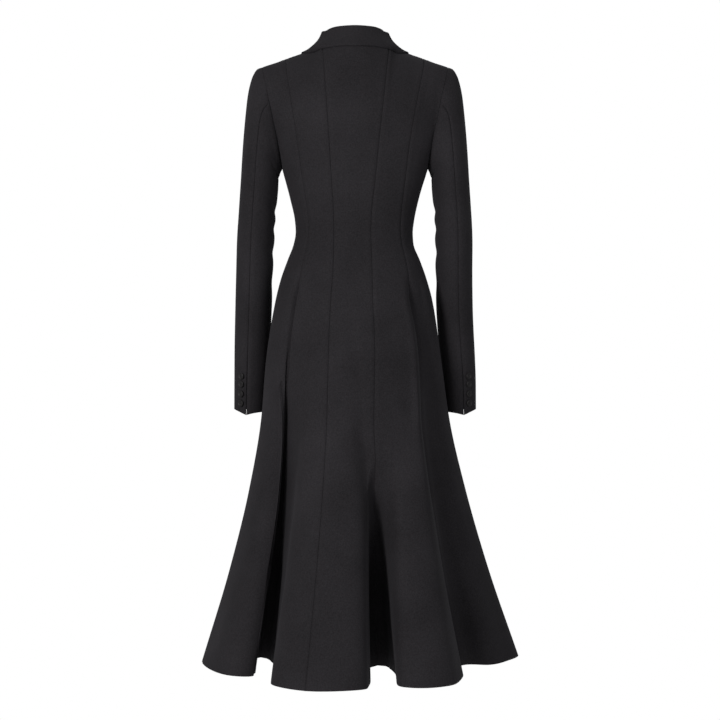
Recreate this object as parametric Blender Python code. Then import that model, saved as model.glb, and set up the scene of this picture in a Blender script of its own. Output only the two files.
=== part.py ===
"""Long fitted coat with a fluted skirt, in its worn shape and hollow, open at neck, hem and cuffs.

All sizes are millimetres and become metres when a piece is made. +Z is up, the front faces -Y and the
wearer's left is +X. "drop" is the distance below the origin, which is the middle of the neck.
"""
import math

import bmesh
import bpy
import numpy as np
from mathutils import Vector
from mathutils.bvhtree import BVHTree

MM = 0.001

# Cloth and clearances
WALL = 2.0
SEAM_GAP = 0.3
LAY_GAP = 0.5
UNDERLAP_GAP = 1.0
COLLAR_CLEARANCE = 1.2

# Body: heights that the cut is built on, and how square its sections are
UNDERARM_DROP = 230.0
HEM_DROP = 1188.0
SECTION_POWER = 2.3

# Half widths and depths of the plain flared body, before the flutes
SECTION_COLUMNS = ("drop", "left", "right", "back", "front")
SECTIONS = np.array([
    (230, 141, 141, 100, 108),
    (290, 125, 123, 94, 102),
    (330, 116.5, 114.5, 88, 89),
    (352, 115, 112, 86, 85),
    (375, 119, 113.5, 88, 85),
    (404, 130, 125, 96, 88),
    (440, 143, 138, 107, 95),
    (483, 154, 150, 118, 103),
    (600, 173, 168, 136, 124),
    (717, 183, 185, 150, 146),
    (853, 206, 217, 166, 172),
    (1010, 244, 263, 184, 200),
    (1188, 297, 325, 204, 230),
], float)

# How far each princess seam lies from the middle, and below the last row its angle stays
SEAM_COLUMNS = ("drop", "outer_left", "inner_left", "inner_right", "outer_right",
                "front_right", "front_left")
SEAMS = np.array([
    (230, 104, 46, -42, -100, -92, 92),
    (352, 89, 40, -31, -88, -70, 70),
    (425, 102, 41, -33, -101, -82, 82),
    (483, 116, 45, -34, -109, -94, 94),
    (570, 129, 49, -38, -125, -106, 106),
    (717, 140, 52, -36, -137, -118, 118),
], float)

# Angle round the body of the seams that run straight down it
STRAIGHT_SEAMS = {"side_left": 0.0, "side_right": math.pi, "center_front": 1.5 * math.pi}

# Panels in order round the body, where each starts and ends on the top edge, and its end at an armhole
PANEL_COLUMNS = ("name", "first_seam", "last_seam", "top_first", "top_last", "armhole_end")
PANELS = (
    ("back_side_left", "side_left", "outer_left", 181, 135, "first"),
    ("back_mid_left", "outer_left", "inner_left", 135, 62, None),
    ("back_center", "inner_left", "inner_right", 62, -66, None),
    ("back_mid_right", "inner_right", "outer_right", -66, -135, None),
    ("back_side_right", "outer_right", "side_right", -135, -181, "last"),
    ("front_side_right", "side_right", "front_right", -181, -128, "first"),
    ("front_center_right", "front_right", "center_front", -128, -76, None),
    ("front_center_left", "center_front", "front_left", 76, 128, None),
    ("front_side_left", "front_left", "side_left", 128, 181, "last"),
)

# Flutes: a column of cloth at a share of its panel, where it ends at the hem, the drop where it leaves
# the plain body, and how it eases out (1 is straight, more stays flat for longer)
# Columns: panel, share, hem x, hem y, start, ease
FLUTES = (
    ("back_side_left", 0.00, 297, 10, 420, 1.3),
    ("back_side_left", 0.42, 236, 141, 420, 1.3),
    ("back_side_left", 0.80, 177, 150, 420, 1.3),
    ("back_mid_left", 0.00, 182, 4, 420, 2.0),
    ("back_mid_left", 0.30, 157, 118, 500, 1.2),
    ("back_mid_left", 0.65, 151, 228, 700, 1.0),
    ("back_center", 0.00, 88, 285, 700, 1.0),
    ("back_center", 0.40, 21, 286, 700, 1.0),
    ("back_center", 0.70, -30, 262, 740, 1.0),
    ("back_center", 0.88, -47, 215, 770, 1.0),
    ("back_mid_right", 0.00, -46, 81, 785, 1.0),
    ("back_mid_right", 0.18, -60, 150, 785, 1.0),
    ("back_mid_right", 0.40, -84, 248, 740, 1.0),
    ("back_mid_right", 0.65, -135, 258, 700, 1.0),
    ("back_mid_right", 0.90, -197, 210, 420, 1.3),
    ("back_side_right", 0.00, -206, 92, 420, 1.5),
    ("back_side_right", 0.30, -258, 58, 420, 1.0),
    ("back_side_right", 0.65, -296, 0, 420, 1.3),
    ("front_side_right", 0.00, -325, -70, 420, 1.3),
    ("front_side_right", 0.50, -290, -165, 450, 1.2),
    ("front_center_right", 0.00, -205, -150, 450, 1.8),
    ("front_center_right", 0.30, -185, -255, 500, 1.2),
    ("front_center_right", 0.65, -105, -300, 600, 1.1),
    ("front_center_left", 0.00, 0, -280, 600, 1.1),
    ("front_center_left", 0.35, 100, -298, 600, 1.1),
    ("front_center_left", 0.70, 178, -250, 500, 1.2),
    ("front_side_left", 0.00, 200, -140, 450, 1.8),
    ("front_side_left", 0.50, 278, -120, 450, 1.2),
)

# Top edge: neck ring, then the shoulder line sloping to the sleeve head
NECK_HALF_WIDTH = 76.0
NECK_BACK = 74.0
NECK_SIDE_Z = 7.6
NECK_BACK_Z = 6.0
SHOULDER_SLOPE = 0.36

# How the bodice rounds over the shoulder and into the armhole
SHOULDER_ROUND = 0.12
BODICE_HANDLE = 0.40
ARMHOLE_REACH = 77.0
ARMHOLE_LOW_REACH = 74.0
ARMHOLE_LOW_RISE = 30.0
ARMHOLE_BLEND = 0.6
ROLL_LINE_REACH = 0.62

# Front closing: right over left
FRONT_OVERLAP = 25.0
UNDERLAP_NEAR = 32.0
UNDERLAP_FAR = 75.0
UNDERLAP_TOP_DROP = 110.0
UNDERLAP_FULL_DROP = 170.0

# Rows and columns of the body's walls
ARMHOLE_STEPS = 9
LOWER_ROWS = (230, 275, 315, 352, 390, 440, 510, 600, 690, 785, 880, 1000, 1188)
COLUMNS_PER_FLUTE = 3
OVERLAP_COLUMNS = 2

# Sleeve rings from the armhole to the cuff: outer and inner points, and how deep the ring is
SLEEVE_COLUMNS = ("outer_x", "outer_drop", "inner_x", "inner_drop", "mid_y", "half_depth")
SLEEVE = np.array([
    (182, 30, 142, 230, 0, 58),
    (190, 33.5, 143.5, 231.5, 0, 59.5),
    (199, 47, 145, 234, 0, 61),
    (208, 80, 146.5, 238, 0, 62),
    (214, 130, 147.5, 243, -1, 62),
    (219, 190, 148.5, 250, -2, 61),
    (223, 255, 150, 268, -3, 60),
    (227, 310, 154, 312, -8, 57),
    (231, 365, 157.5, 365, -14, 54.5),
    (233.5, 425, 161, 425, -26, 51.5),
    (236.5, 500, 164.5, 500, -42, 48),
    (239, 580, 169, 580, -55, 45),
    (240, 650, 174, 650, -63, 43),
    (240.5, 697, 177, 703, -67, 42),
], float)
SLEEVE_BACK_SEAM = 80.0
SLEEVE_FRONT_SEAM = -120.0
SLEEVE_TURN_STEP = 180.0 / ARMHOLE_STEPS
CUFF_TIP_DROP = 9.0
CUFF_TIP_ROWS = 1.5
VENT_ROWS = 2.0
VENT_HALF_OPENING = 1.0
# The right sleeve hangs this much closer to the skirt at the elbow: rings where that starts, peaks, ends
RIGHT_SLEEVE_CLOSER = 4.0
RIGHT_SLEEVE_RINGS = (7.0, 10.0, 12.0)

# Collar from the middle of the back to the notch: the fold, the fall's lower edge and the neck seam
COLLAR_COLUMNS = ("fold_x", "fold_y", "fold_z", "edge_x", "edge_y", "edge_z",
                  "seam_x", "seam_y", "seam_z")
COLLAR = np.array([
    (0, 62, 41, 0, 86, 0, 0, 71, 0),
    (35, 52, 40.5, 54, 72, 0, 41, 58, 1),
    (54.5, 29, 38, 91, 32, 0, 66, 31, 2),
    (61, 3, 33, 106, -12, -4, 72, 2, 2),
    (66, -20, 12, 110, -40, -22, 70, -20, -8),
    (56, -43, -17, 97, -66, -47, 60, -44, -34),
], float)
COLLAR_TURNS = 29
STAND_END_TURN = 3.4
STAND_TURNS = 17
# The fall's top edge: steps in towards the neck and down from the fold
FOLD_LIP = ((4.4, -6.0), (4.4, -2.0), (1.8, 0.0), (-0.8, -2.4))
STAND_UPRIGHT = 5.0
FALL_ROWS = 5
FALL_BOW_ACROSS = 0.40
FALL_BOW_DOWN = 0.58

# Lapels, as shares of the front panel: gorge at the fold and at the point, and the width at the point
LAPEL_TOP_FOLD = 0.25
LAPEL_TOP_POINT = 0.41
LAPEL_WIDTH = 0.86
LAPEL_END_WIDTH = 0.10
LAPEL_END_RIGHT = 0.96
LAPEL_END_LEFT = 0.60
LAPEL_ROWS = 8
LAPEL_COLUMNS = 6

# Buttons: profile as shares of radius and height, from the back to the middle of the face
BUTTON_PROFILE = ((0.3, 0.0), (0.3, 0.3), (0.9, 0.34), (1.0, 0.55), (0.92, 0.9), (0.70, 1.0), (0.58, 0.9))
CUFF_BUTTON_RADIUS = 6.6
CUFF_BUTTON_HEIGHT = 4.0
CUFF_BUTTON_SIDES = 12
CUFF_BUTTON_DROPS = (629, 646, 663, 680)
CUFF_BUTTON_TURN = 62.0
FRONT_BUTTON_RADIUS = 11.0
FRONT_BUTTON_HEIGHT = 5.5
FRONT_BUTTON_SIDES = 16
FRONT_BUTTON_DROPS = (262, 334, 406)

# Colours
WOOL_COLOUR = (0.022, 0.020, 0.023, 1.0)
WOOL_ROUGHNESS = 0.85
BUTTON_COLOUR = (0.016, 0.015, 0.017, 1.0)
BUTTON_ROUGHNESS = 0.38

SMALL = 1e-3


def smooth(rows, values, at):
    """A table's value between its rows, on a cubic that never overshoots."""
    rows = np.asarray(rows, float)
    values = np.asarray(values, float)
    gaps = np.diff(rows)
    slopes = np.diff(values) / gaps
    tangents = np.concatenate([slopes[:1], np.zeros(len(rows) - 2), slopes[-1:]])
    for i in range(1, len(rows) - 1):
        if slopes[i - 1] * slopes[i] > 0:
            before = 2 * gaps[i] + gaps[i - 1]
            after = gaps[i] + 2 * gaps[i - 1]
            tangents[i] = (before + after) / (before / slopes[i - 1] + after / slopes[i])
    at = np.clip(at, rows[0], rows[-1])
    i = np.clip(np.searchsorted(rows, at, side="right") - 1, 0, len(gaps) - 1)
    f = (at - rows[i]) / gaps[i]
    rise = gaps[i] * (tangents[i] * f * (1 - f) ** 2 - tangents[i + 1] * f * f * (1 - f))
    return values[i] + (values[i + 1] - values[i]) * f * f * (3 - 2 * f) + rise


def ease(value):
    """0 to 1 with flat ends."""
    value = np.clip(value, 0.0, 1.0)
    return value * value * (3 - 2 * value)


def mix(a, b, weight):
    return a + (b - a) * weight


def signed_power(value, power):
    return np.sign(value) * np.abs(value) ** power


def section(column, drop):
    i = SECTION_COLUMNS.index(column)
    return smooth(SECTIONS[:, 0], SECTIONS[:, i], drop)


def seam_angle(seam, drop):
    """Angle of a seam round the plain body: 0 at the left side, then back, right side, front."""
    if seam in STRAIGHT_SEAMS:
        return np.full(np.shape(drop), STRAIGHT_SEAMS[seam])
    held = np.minimum(drop, SEAMS[-1, 0])
    across = smooth(SEAMS[:, 0], SEAMS[:, SEAM_COLUMNS.index(seam)], held)
    half = np.where(across > 0, section("left", held), section("right", held))
    angle = np.arccos(signed_power(across / half, SECTION_POWER / 2))
    return 2 * math.pi - angle if seam.startswith("front") else angle


def plain_body(angle, drop):
    """A point of the plain flared body, before the flutes."""
    across = np.cos(angle)
    deep = np.sin(angle)
    half = np.where(across > 0, section("left", drop), section("right", drop))
    depth = np.where(deep > 0, section("back", drop), section("front", drop))
    power = 2 / SECTION_POWER
    return np.stack([half * signed_power(across, power), depth * signed_power(deep, power)], -1)


def flute_columns(drop):
    """Where every flute's column of cloth is at each drop."""
    seams = {row[0]: (row[1], row[2]) for row in PANELS}
    columns = []
    for panel, share, hem_x, hem_y, start, power in FLUTES:
        first, last = seams[panel]
        ends = []
        for level in (drop, np.full_like(drop, HEM_DROP)):
            begin = seam_angle(first, level)
            finish = seam_angle(last, level)
            finish = np.where(finish < begin, finish + 2 * math.pi, finish)
            ends.append(plain_body(mix(begin, finish, share), level))
        weight = np.clip((drop - start) / (HEM_DROP - start), 0, 1) ** power
        columns.append(ends[0] + weight[:, None] * (np.array([hem_x, hem_y]) - ends[1]))
    return np.stack(columns, 1)


def through(p0, p1, p2, p3, f):
    """Between p1 and p2 on a smooth curve through four points of uneven spacing."""
    def step(a, b):
        return np.sqrt(np.linalg.norm(b - a, axis=-1, keepdims=True)) + 1e-9
    k1 = step(p0, p1)
    k2 = k1 + step(p1, p2)
    k3 = k2 + step(p2, p3)
    t = k1 + f[..., None] * (k2 - k1)
    a1 = mix(p0, p1, t / k1)
    a2 = mix(p1, p2, (t - k1) / (k2 - k1))
    a3 = mix(p2, p3, (t - k2) / (k3 - k2))
    b1 = mix(a1, a2, t / k2)
    b2 = mix(a2, a3, (t - k1) / (k3 - k1))
    return mix(b1, b2, (t - k1) / (k2 - k1))


def body_point(place, drop):
    """Point of the body below the underarm; place counts flute columns round it."""
    place, drop = np.broadcast_arrays(np.asarray(place, float), np.asarray(drop, float))
    columns = flute_columns(drop.ravel())
    count = columns.shape[1]
    flat = place.ravel()
    index = np.floor(flat).astype(int)
    rows = np.arange(len(flat))
    near = [columns[rows, (index + k) % count] for k in (-1, 0, 1, 2)]
    plan = through(*near, flat - index).reshape(place.shape + (2,))
    return np.concatenate([plan, -drop[..., None]], -1)


def panel_value(panel, column):
    row = next(row for row in PANELS if row[0] == panel)
    return row[PANEL_COLUMNS.index(column)]


def panel_places(panel):
    """First and last flute column of a panel, and the shares between them."""
    names = [row[0] for row in FLUTES]
    first = names.index(panel)
    shares = [row[1] for row in FLUTES if row[0] == panel] + [1.0]
    return first, first + len(shares) - 1, shares


def panel_place(panel, across, drop):
    """Place round the body of a point across a panel (0 to 1); the fronts run on past the middle."""
    first, last, shares = panel_places(panel)
    if not panel.startswith("front_center"):
        return mix(first, last, across)
    middle = last if panel.endswith("right") else first
    beside = body_point(middle + SMALL, drop) - body_point(middle - SMALL, drop)
    over = FRONT_OVERLAP * 2 * SMALL / np.linalg.norm(beside, axis=-1)
    lap = OVERLAP_COLUMNS / (COLUMNS_PER_FLUTE * (last - first))
    if panel.endswith("right"):
        plain = mix(first, middle - over, across / (1 - lap))
        lapped = mix(middle - over, middle + over, (across - 1 + lap) / lap)
        return np.where(across < 1 - lap, plain, lapped)
    lapped = mix(middle - over, middle + over, across / lap)
    return np.where(across < lap, lapped, mix(middle + over, last, (across - lap) / (1 - lap)))


def lower_point(panel, across, drop):
    """Point of a panel below the underarm."""
    return body_point(panel_place(panel, across, drop), drop)


def top_edge(panel, across):
    """Point of a panel's top edge, on the neck or on the shoulder."""
    first, last, shares = panel_places(panel)
    share = across
    if not panel.startswith("front_center"):
        share = np.interp(across * (last - first), np.arange(len(shares)), shares)
    x = mix(panel_value(panel, "top_first"), panel_value(panel, "top_last"), share)
    out = np.abs(x)
    side = 1 if panel.startswith("back") else -1
    neck_y = NECK_BACK * np.sqrt(np.clip(1 - (out / NECK_HALF_WIDTH) ** 2, 0, 1)) + SEAM_GAP / 2
    neck_z = mix(NECK_BACK_Z, NECK_SIDE_Z, out / NECK_HALF_WIDTH)
    on_neck = out < NECK_HALF_WIDTH
    y = np.where(on_neck, neck_y, side * SEAM_GAP / 2)
    z = np.where(on_neck, neck_z, NECK_SIDE_Z - SHOULDER_SLOPE * (out - NECK_HALF_WIDTH))
    return np.stack([x, y, z], -1)


def from_armhole(panel, across):
    """0 at the armhole edge, 1 at the panel's other seam, and 1 on panels without an armhole."""
    end = panel_value(panel, "armhole_end")
    if end is None:
        return np.ones_like(across)
    return across if end == "first" else 1 - across


def upper_point(panel, across, down):
    """Point of a panel above the underarm; down runs from the top edge (0) to the underarm (1)."""
    side = 1 if panel.startswith("back") else -1
    top = top_edge(panel, across)
    low = lower_point(panel, across, UNDERARM_DROP)
    below = lower_point(panel, across, UNDERARM_DROP + 1.0)
    height = (top[..., 2] - low[..., 2])[..., None]
    first = np.stack([top[..., 0], low[..., 1], top[..., 2] - SHOULDER_ROUND * height[..., 0]], -1)
    second = low + (low - below) * BODICE_HANDLE * height
    inside = from_armhole(panel, across)[..., None]
    reach = np.array([0, side * ARMHOLE_REACH, 0])
    first = mix(top + reach, first, ease(inside))
    first[..., 1] = mix(side * ARMHOLE_REACH, low[..., 1], inside[..., 0] ** 4)
    deep = mix(side * ARMHOLE_LOW_REACH, second[..., 1], inside[..., 0])
    second = mix(low + np.array([0, 0, ARMHOLE_LOW_RISE]), second, ease(inside / ARMHOLE_BLEND))
    second[..., 1] = deep
    if panel.startswith("front_center"):
        edge = ease(across if panel.endswith("right") else 1 - across)
        first[..., 0] = mix(top[..., 0], mix(top[..., 0], low[..., 0], 1 / 3), edge)
        first[..., 1] *= mix(1.0, ROLL_LINE_REACH, edge)
        second[..., 0] = mix(second[..., 0], mix(low[..., 0], top[..., 0], 1 / 3), edge)
    t = down[..., None]
    return (1 - t) ** 3 * top + 3 * t * (1 - t) ** 2 * first + 3 * t * t * (1 - t) * second + t ** 3 * low


def bare_panel_point(panel, across, down):
    """Point of a panel's outer face; down is 0 to 1 above the underarm and 1 to 2 below it."""
    across, down = np.broadcast_arrays(np.asarray(across, float), np.asarray(down, float))
    above = upper_point(panel, across, np.clip(down, 0, 1))
    drop = mix(UNDERARM_DROP, HEM_DROP, np.clip(down - 1, 0, 1))
    return np.where(down[..., None] < 1, above, lower_point(panel, across, drop))


def panel_frame(panel, across, down):
    """Point, outward normal and the direction across a panel, with the left front tucked under."""
    point = bare_panel_point(panel, across, down)
    ahead = bare_panel_point(panel, np.clip(across + SMALL, 0, 1), down)
    behind = bare_panel_point(panel, np.clip(across - SMALL, 0, 1), down)
    up = bare_panel_point(panel, across, np.clip(down - SMALL, 0, 2))
    under = bare_panel_point(panel, across, np.clip(down + SMALL, 0, 2))
    tangent = ahead - behind
    tangent /= np.linalg.norm(tangent, axis=-1, keepdims=True)
    normal = np.cross(tangent, up - under)
    on_shoulder = (down <= 0) & (np.abs(point[..., 0]) >= NECK_HALF_WIDTH - SMALL)
    normal[..., 1] = np.where(on_shoulder, 0.0, normal[..., 1])
    normal /= np.linalg.norm(normal, axis=-1, keepdims=True)
    if panel == "front_center_left":
        near = ease((UNDERLAP_FAR - point[..., 0]) / (UNDERLAP_FAR - UNDERLAP_NEAR))
        deep = ease((-point[..., 2] - UNDERLAP_TOP_DROP) / (UNDERLAP_FULL_DROP - UNDERLAP_TOP_DROP))
        point = point - normal * ((WALL + UNDERLAP_GAP) * near * deep)[..., None]
    return point, normal, tangent


def panel_rows():
    upper = np.arange(ARMHOLE_STEPS) / ARMHOLE_STEPS
    drops = np.array(LOWER_ROWS, float)
    return np.concatenate([upper, 1 + (drops - UNDERARM_DROP) / (HEM_DROP - UNDERARM_DROP)])


def share_seam_normals(panel, normal, down):
    """Give a panel's seams the mean of its own normals and its neighbours', so that walls meet square."""
    names = [row[0] for row in PANELS]
    place = names.index(panel)
    for seam, column, step, beside in (("first_seam", 0, -1, 1.0), ("last_seam", -1, 1, 0.0)):
        seam = panel_value(panel, seam)
        if seam == "center_front":
            continue
        neighbour = names[(place + step) % len(names)]
        other = panel_frame(neighbour, np.full_like(down, beside), down)[1]
        rows = slice(ARMHOLE_STEPS if seam.startswith("side") else 0, None)
        shared = normal[rows, column] + other[rows]
        normal[rows, column] = shared / np.linalg.norm(shared, axis=-1, keepdims=True)


def panel_wall(panel):
    """Outer and inner faces of a body panel, short of its seams by half the seam gap."""
    first, last, shares = panel_places(panel)
    across, down = np.meshgrid(np.linspace(0, 1, COLUMNS_PER_FLUTE * (last - first) + 1), panel_rows())
    point, normal, tangent = panel_frame(panel, across, down)
    share_seam_normals(panel, normal, down[:, 0])
    point[:, 0] += tangent[:, 0] * SEAM_GAP / 2
    point[:, -1] -= tangent[:, -1] * SEAM_GAP / 2
    end = panel_value(panel, "armhole_end")
    if end:
        column = 0 if end == "first" else -1
        sleeve_ward = armhole_axis() * np.array([np.sign(point[0, column, 0]), 1, 1])
        keep_beside(normal[:ARMHOLE_STEPS, column], sleeve_ward)
    return point, point - normal * WALL


def armhole_axis():
    """Direction square to the left armhole, out into the sleeve."""
    tip = top_edge("back_side_left", np.array(0.0))
    low = lower_point("back_side_left", np.array(0.0), UNDERARM_DROP)
    axis = np.cross(low - tip, np.array([0.0, 1.0, 0.0]))
    return axis / np.linalg.norm(axis)


def keep_beside(normals, away):
    """Turn edge normals so that the wall's under face stays on its own side of a seam."""
    lean = np.minimum(normals @ away, 0)
    normals -= lean[:, None] * away
    normals /= np.linalg.norm(normals, axis=-1, keepdims=True)


def armhole(turn):
    """The armhole edge of the left side; turn is degrees from the shoulder over the back."""
    turn = np.mod(turn, 360)
    back = upper_point("back_side_left", np.zeros_like(turn), np.clip(turn / 180, 0, 1))
    front = upper_point("front_side_left", np.ones_like(turn), np.clip(2 - turn / 180, 0, 1))
    return np.where(turn[..., None] <= 180, back, front)


def sleeve_value(column, row):
    i = SLEEVE_COLUMNS.index(column)
    return smooth(np.arange(len(SLEEVE)), SLEEVE[:, i], row)


def sleeve_point(turn, row):
    """Point of the left sleeve's outer face; row counts the rings from the armhole."""
    angle = np.radians(turn)
    middle = sleeve_value("mid_y", row)
    outer = np.stack([sleeve_value("outer_x", row), middle, -sleeve_value("outer_drop", row)], -1)
    inner = np.stack([sleeve_value("inner_x", row), middle, -sleeve_value("inner_drop", row)], -1)
    ring = (outer + inner) / 2 + np.cos(angle)[..., None] * (outer - inner) / 2
    ring[..., 1] += np.sin(angle) * sleeve_value("half_depth", row)
    last = len(SLEEVE) - 1
    tip = np.clip(1 - np.abs(turn - SLEEVE_BACK_SEAM) / SLEEVE_BACK_SEAM, 0, 1) ** 2
    ring[..., 2] -= CUFF_TIP_DROP * tip * np.clip((row - last + CUFF_TIP_ROWS) / CUFF_TIP_ROWS, 0, 1) ** 2
    edge = armhole(turn)
    edge[..., 0] += SEAM_GAP
    return mix(edge, ring, ease(np.clip(row, 0, 1))[..., None])


def sleeve_frame(turn, row):
    last = len(SLEEVE) - 1
    point = sleeve_point(turn, row)
    tangent = sleeve_point(turn + 0.1, row) - sleeve_point(turn - 0.1, row)
    tangent /= np.linalg.norm(tangent, axis=-1, keepdims=True)
    above = sleeve_point(turn, np.clip(row - SMALL, 0, last))
    below = sleeve_point(turn, np.clip(row + SMALL, 0, last))
    normal = np.cross(tangent, above - below)
    normal /= np.linalg.norm(normal, axis=-1, keepdims=True)
    return point, normal, tangent


def sleeve_wall(start, end, vent_column):
    """Faces of one sleeve piece between two seams; vent_column is the one at the back seam."""
    last = len(SLEEVE) - 1
    turns = np.linspace(start, end, int(round((end - start) / SLEEVE_TURN_STEP)) + 1)
    turn, row = np.meshgrid(turns, np.arange(last + 1, dtype=float))
    point, normal, tangent = sleeve_frame(turn, row)
    gap = np.full(last + 1, SEAM_GAP / 2)
    vent = mix(SEAM_GAP / 2, VENT_HALF_OPENING, np.clip((row[:, 0] - last + VENT_ROWS) / VENT_ROWS, 0, 1))
    first_gap = vent if vent_column == 0 else gap
    last_gap = vent if vent_column == -1 else gap
    point[:, 0] += tangent[:, 0] * first_gap[:, None]
    point[:, -1] -= tangent[:, -1] * last_gap[:, None]
    keep_beside(normal[0], -armhole_axis())
    return point, point - normal * WALL


def collar_value(columns, turn):
    """Collar table between its rows; turn 0 is the middle of the back and the right side is negative."""
    mirror = np.array([-1 if name.endswith("x") else 1 for name in COLLAR_COLUMNS])
    rows = np.concatenate([COLLAR[:0:-1] * mirror, COLLAR])
    places = np.arange(len(rows)) - (len(COLLAR) - 1)
    return np.stack([smooth(places, rows[:, COLLAR_COLUMNS.index(name)], turn) for name in columns], -1)


def grid_normals(grid, outward):
    """Unit normals of a grid, on the side that outward points to at its middle."""
    normal = np.cross(np.gradient(grid, axis=1), np.gradient(grid, axis=0))
    normal /= np.linalg.norm(normal, axis=-1, keepdims=True)
    middle = normal[len(grid) // 2, grid.shape[1] // 2]
    return normal if np.dot(middle, outward) > 0 else -normal


def lay_on(outer, inner, tree, clearance):
    """Move a wall's points out until its under face, and the spans between, clear the cloth beneath."""
    rows, columns = inner.shape[:2]
    lifts = np.zeros_like(inner)
    for r, c in np.ndindex(rows, columns):
        beside = [(r + 1, c), (r - 1, c), (r, c + 1), (r, c - 1)]
        beside = [(a, b) for a, b in beside if 0 <= a < rows and 0 <= b < columns]
        samples = [inner[r, c]]
        samples += [mix(inner[r, c], inner[place], share) for place in beside for share in (0.25, 0.5)]
        clear = []
        for sample in samples:
            spot, normal, _, _ = tree.find_nearest(Vector(sample))
            clear.append((Vector(sample) - spot).dot(normal))
        _, normal, _, _ = tree.find_nearest(Vector(inner[r, c]))
        lifts[r, c] = np.array(normal) * max(0.0, clearance - min(clear))
    inner += lifts
    outer += lifts


def collar_fold(turn):
    """The fold line, the direction in towards the neck, and the lower edge of the fall."""
    fold = collar_value(("fold_x", "fold_y", "fold_z"), turn)
    edge = collar_value(("edge_x", "edge_y", "edge_z"), turn)
    inward = fold - edge
    inward[..., 2] = 0
    inward /= np.linalg.norm(inward, axis=-1, keepdims=True)
    return fold, inward, edge


def collar_fall_wall(tree):
    turn = np.linspace(1 - len(COLLAR), len(COLLAR) - 1, COLLAR_TURNS)
    fold, inward, edge = collar_fold(turn)
    up = np.array([0, 0, 1.0])
    rows = [fold + inward * into + up * down for into, down in FOLD_LIP]
    start = rows[-1]
    bow = mix(start, edge, FALL_BOW_ACROSS)
    bow[:, 2] = mix(start[:, 2], edge[:, 2], FALL_BOW_DOWN)
    for f in np.linspace(0, 1, FALL_ROWS + 1)[1:]:
        rows.append((1 - f) ** 2 * start + 2 * f * (1 - f) * bow + f * f * edge)
    outer = np.stack(rows)
    inner = outer - grid_normals(outer, (0, 1, 0.5)) * WALL
    lay_on(outer[len(FOLD_LIP):], inner[len(FOLD_LIP):], tree, COLLAR_CLEARANCE)
    return outer, inner


def collar_stand_wall():
    turn = np.linspace(-STAND_END_TURN, STAND_END_TURN, STAND_TURNS)
    fold, inward, edge = collar_fold(turn)
    into, down = FOLD_LIP[0]
    top = fold + inward * into + np.array([0, 0, down - LAY_GAP])
    upright = top - np.array([0, 0, STAND_UPRIGHT])
    seam = collar_value(("seam_x", "seam_y", "seam_z"), turn) + inward * WALL
    inner = np.stack([top, upright, (upright + seam) / 2, seam])
    return inner, inner - grid_normals(inner, (0, -1, 0)) * WALL


def lapel_wall(side, tree):
    """The turned-back front, lying on its panel from the roll line outward."""
    end = LAPEL_END_RIGHT if side == "right" else LAPEL_END_LEFT
    out, along = np.meshgrid(np.linspace(0, 1, LAPEL_COLUMNS), np.linspace(0, 1, LAPEL_ROWS))
    down = mix(mix(LAPEL_TOP_FOLD, LAPEL_TOP_POINT, out), end, along)
    width = mix(LAPEL_WIDTH, LAPEL_END_WIDTH, along ** 0.9)
    across = 1 - out * width if side == "right" else out * width
    point, normal, _ = panel_frame("front_center_" + side, across, down)
    outer = point + normal * (LAY_GAP + WALL)
    inner = point + normal * LAY_GAP
    lay_on(outer, inner, tree, LAY_GAP)
    return outer, inner


def material(name, colour, roughness):
    made = bpy.data.materials.new(name)
    made.use_nodes = True
    shader = made.node_tree.nodes["Principled BSDF"]
    shader.inputs["Base Color"].default_value = colour
    shader.inputs["Roughness"].default_value = roughness
    return made


def add_piece(name, vertices, faces, finish):
    """One closed piece, its faces turned outward."""
    mesh = bpy.data.meshes.new(name)
    mesh.from_pydata([tuple(float(c) * MM for c in v) for v in vertices], [], faces)
    shape = bmesh.new()
    shape.from_mesh(mesh)
    bmesh.ops.recalc_face_normals(shape, faces=shape.faces)
    shape.to_mesh(mesh)
    shape.free()
    mesh.shade_smooth()
    mesh.set_sharp_from_angle(angle=math.radians(40))
    mesh.materials.append(finish)
    piece = bpy.data.objects.new(name, mesh)
    bpy.context.scene.collection.objects.link(piece)
    return piece


def add_wall(name, outer, inner, finish):
    """A wall of cloth between two grids of points, closed round its edges."""
    rows, columns = outer.shape[:2]
    index = np.arange(rows * columns).reshape(rows, columns)
    under = index + rows * columns
    faces = []
    for r in range(rows - 1):
        for c in range(columns - 1):
            faces.append((index[r, c], index[r, c + 1], index[r + 1, c + 1], index[r + 1, c]))
            faces.append((under[r, c], under[r + 1, c], under[r + 1, c + 1], under[r, c + 1]))
    rim = [(0, c) for c in range(columns)] + [(r, columns - 1) for r in range(1, rows)]
    rim += [(rows - 1, c) for c in range(columns - 2, -1, -1)] + [(r, 0) for r in range(rows - 2, 0, -1)]
    for a, b in zip(rim, rim[1:] + rim[:1]):
        faces.append((index[a], under[a], under[b], index[b]))
    vertices = np.concatenate([outer.reshape(-1, 3), inner.reshape(-1, 3)])
    return add_piece(name, vertices, [tuple(int(i) for i in face) for face in faces], finish)


def add_button(name, centre, tree, radius, height, sides, finish):
    """A turned button on its thread shank, seated on the cloth nearest to a point."""
    spot, axis, _, _ = tree.find_nearest(Vector(centre))
    across = axis.cross(Vector((0, 0, 1))).normalized()
    along = axis.cross(across)
    seat = spot + axis * LAY_GAP
    vertices = []
    for wide, tall in BUTTON_PROFILE:
        for k in range(sides):
            angle = 2 * math.pi * k / sides
            spoke = across * math.cos(angle) + along * math.sin(angle)
            vertices.append(seat + spoke * (radius * wide) + axis * (height * tall))
    faces = [tuple(range(sides)), tuple(range(len(vertices) - sides, len(vertices)))]
    for ring in range(len(BUTTON_PROFILE) - 1):
        for k in range(sides):
            a = ring * sides + k
            b = ring * sides + (k + 1) % sides
            faces.append((a, b, b + sides, a + sides))
    return add_piece(name, vertices, faces, finish)


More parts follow.
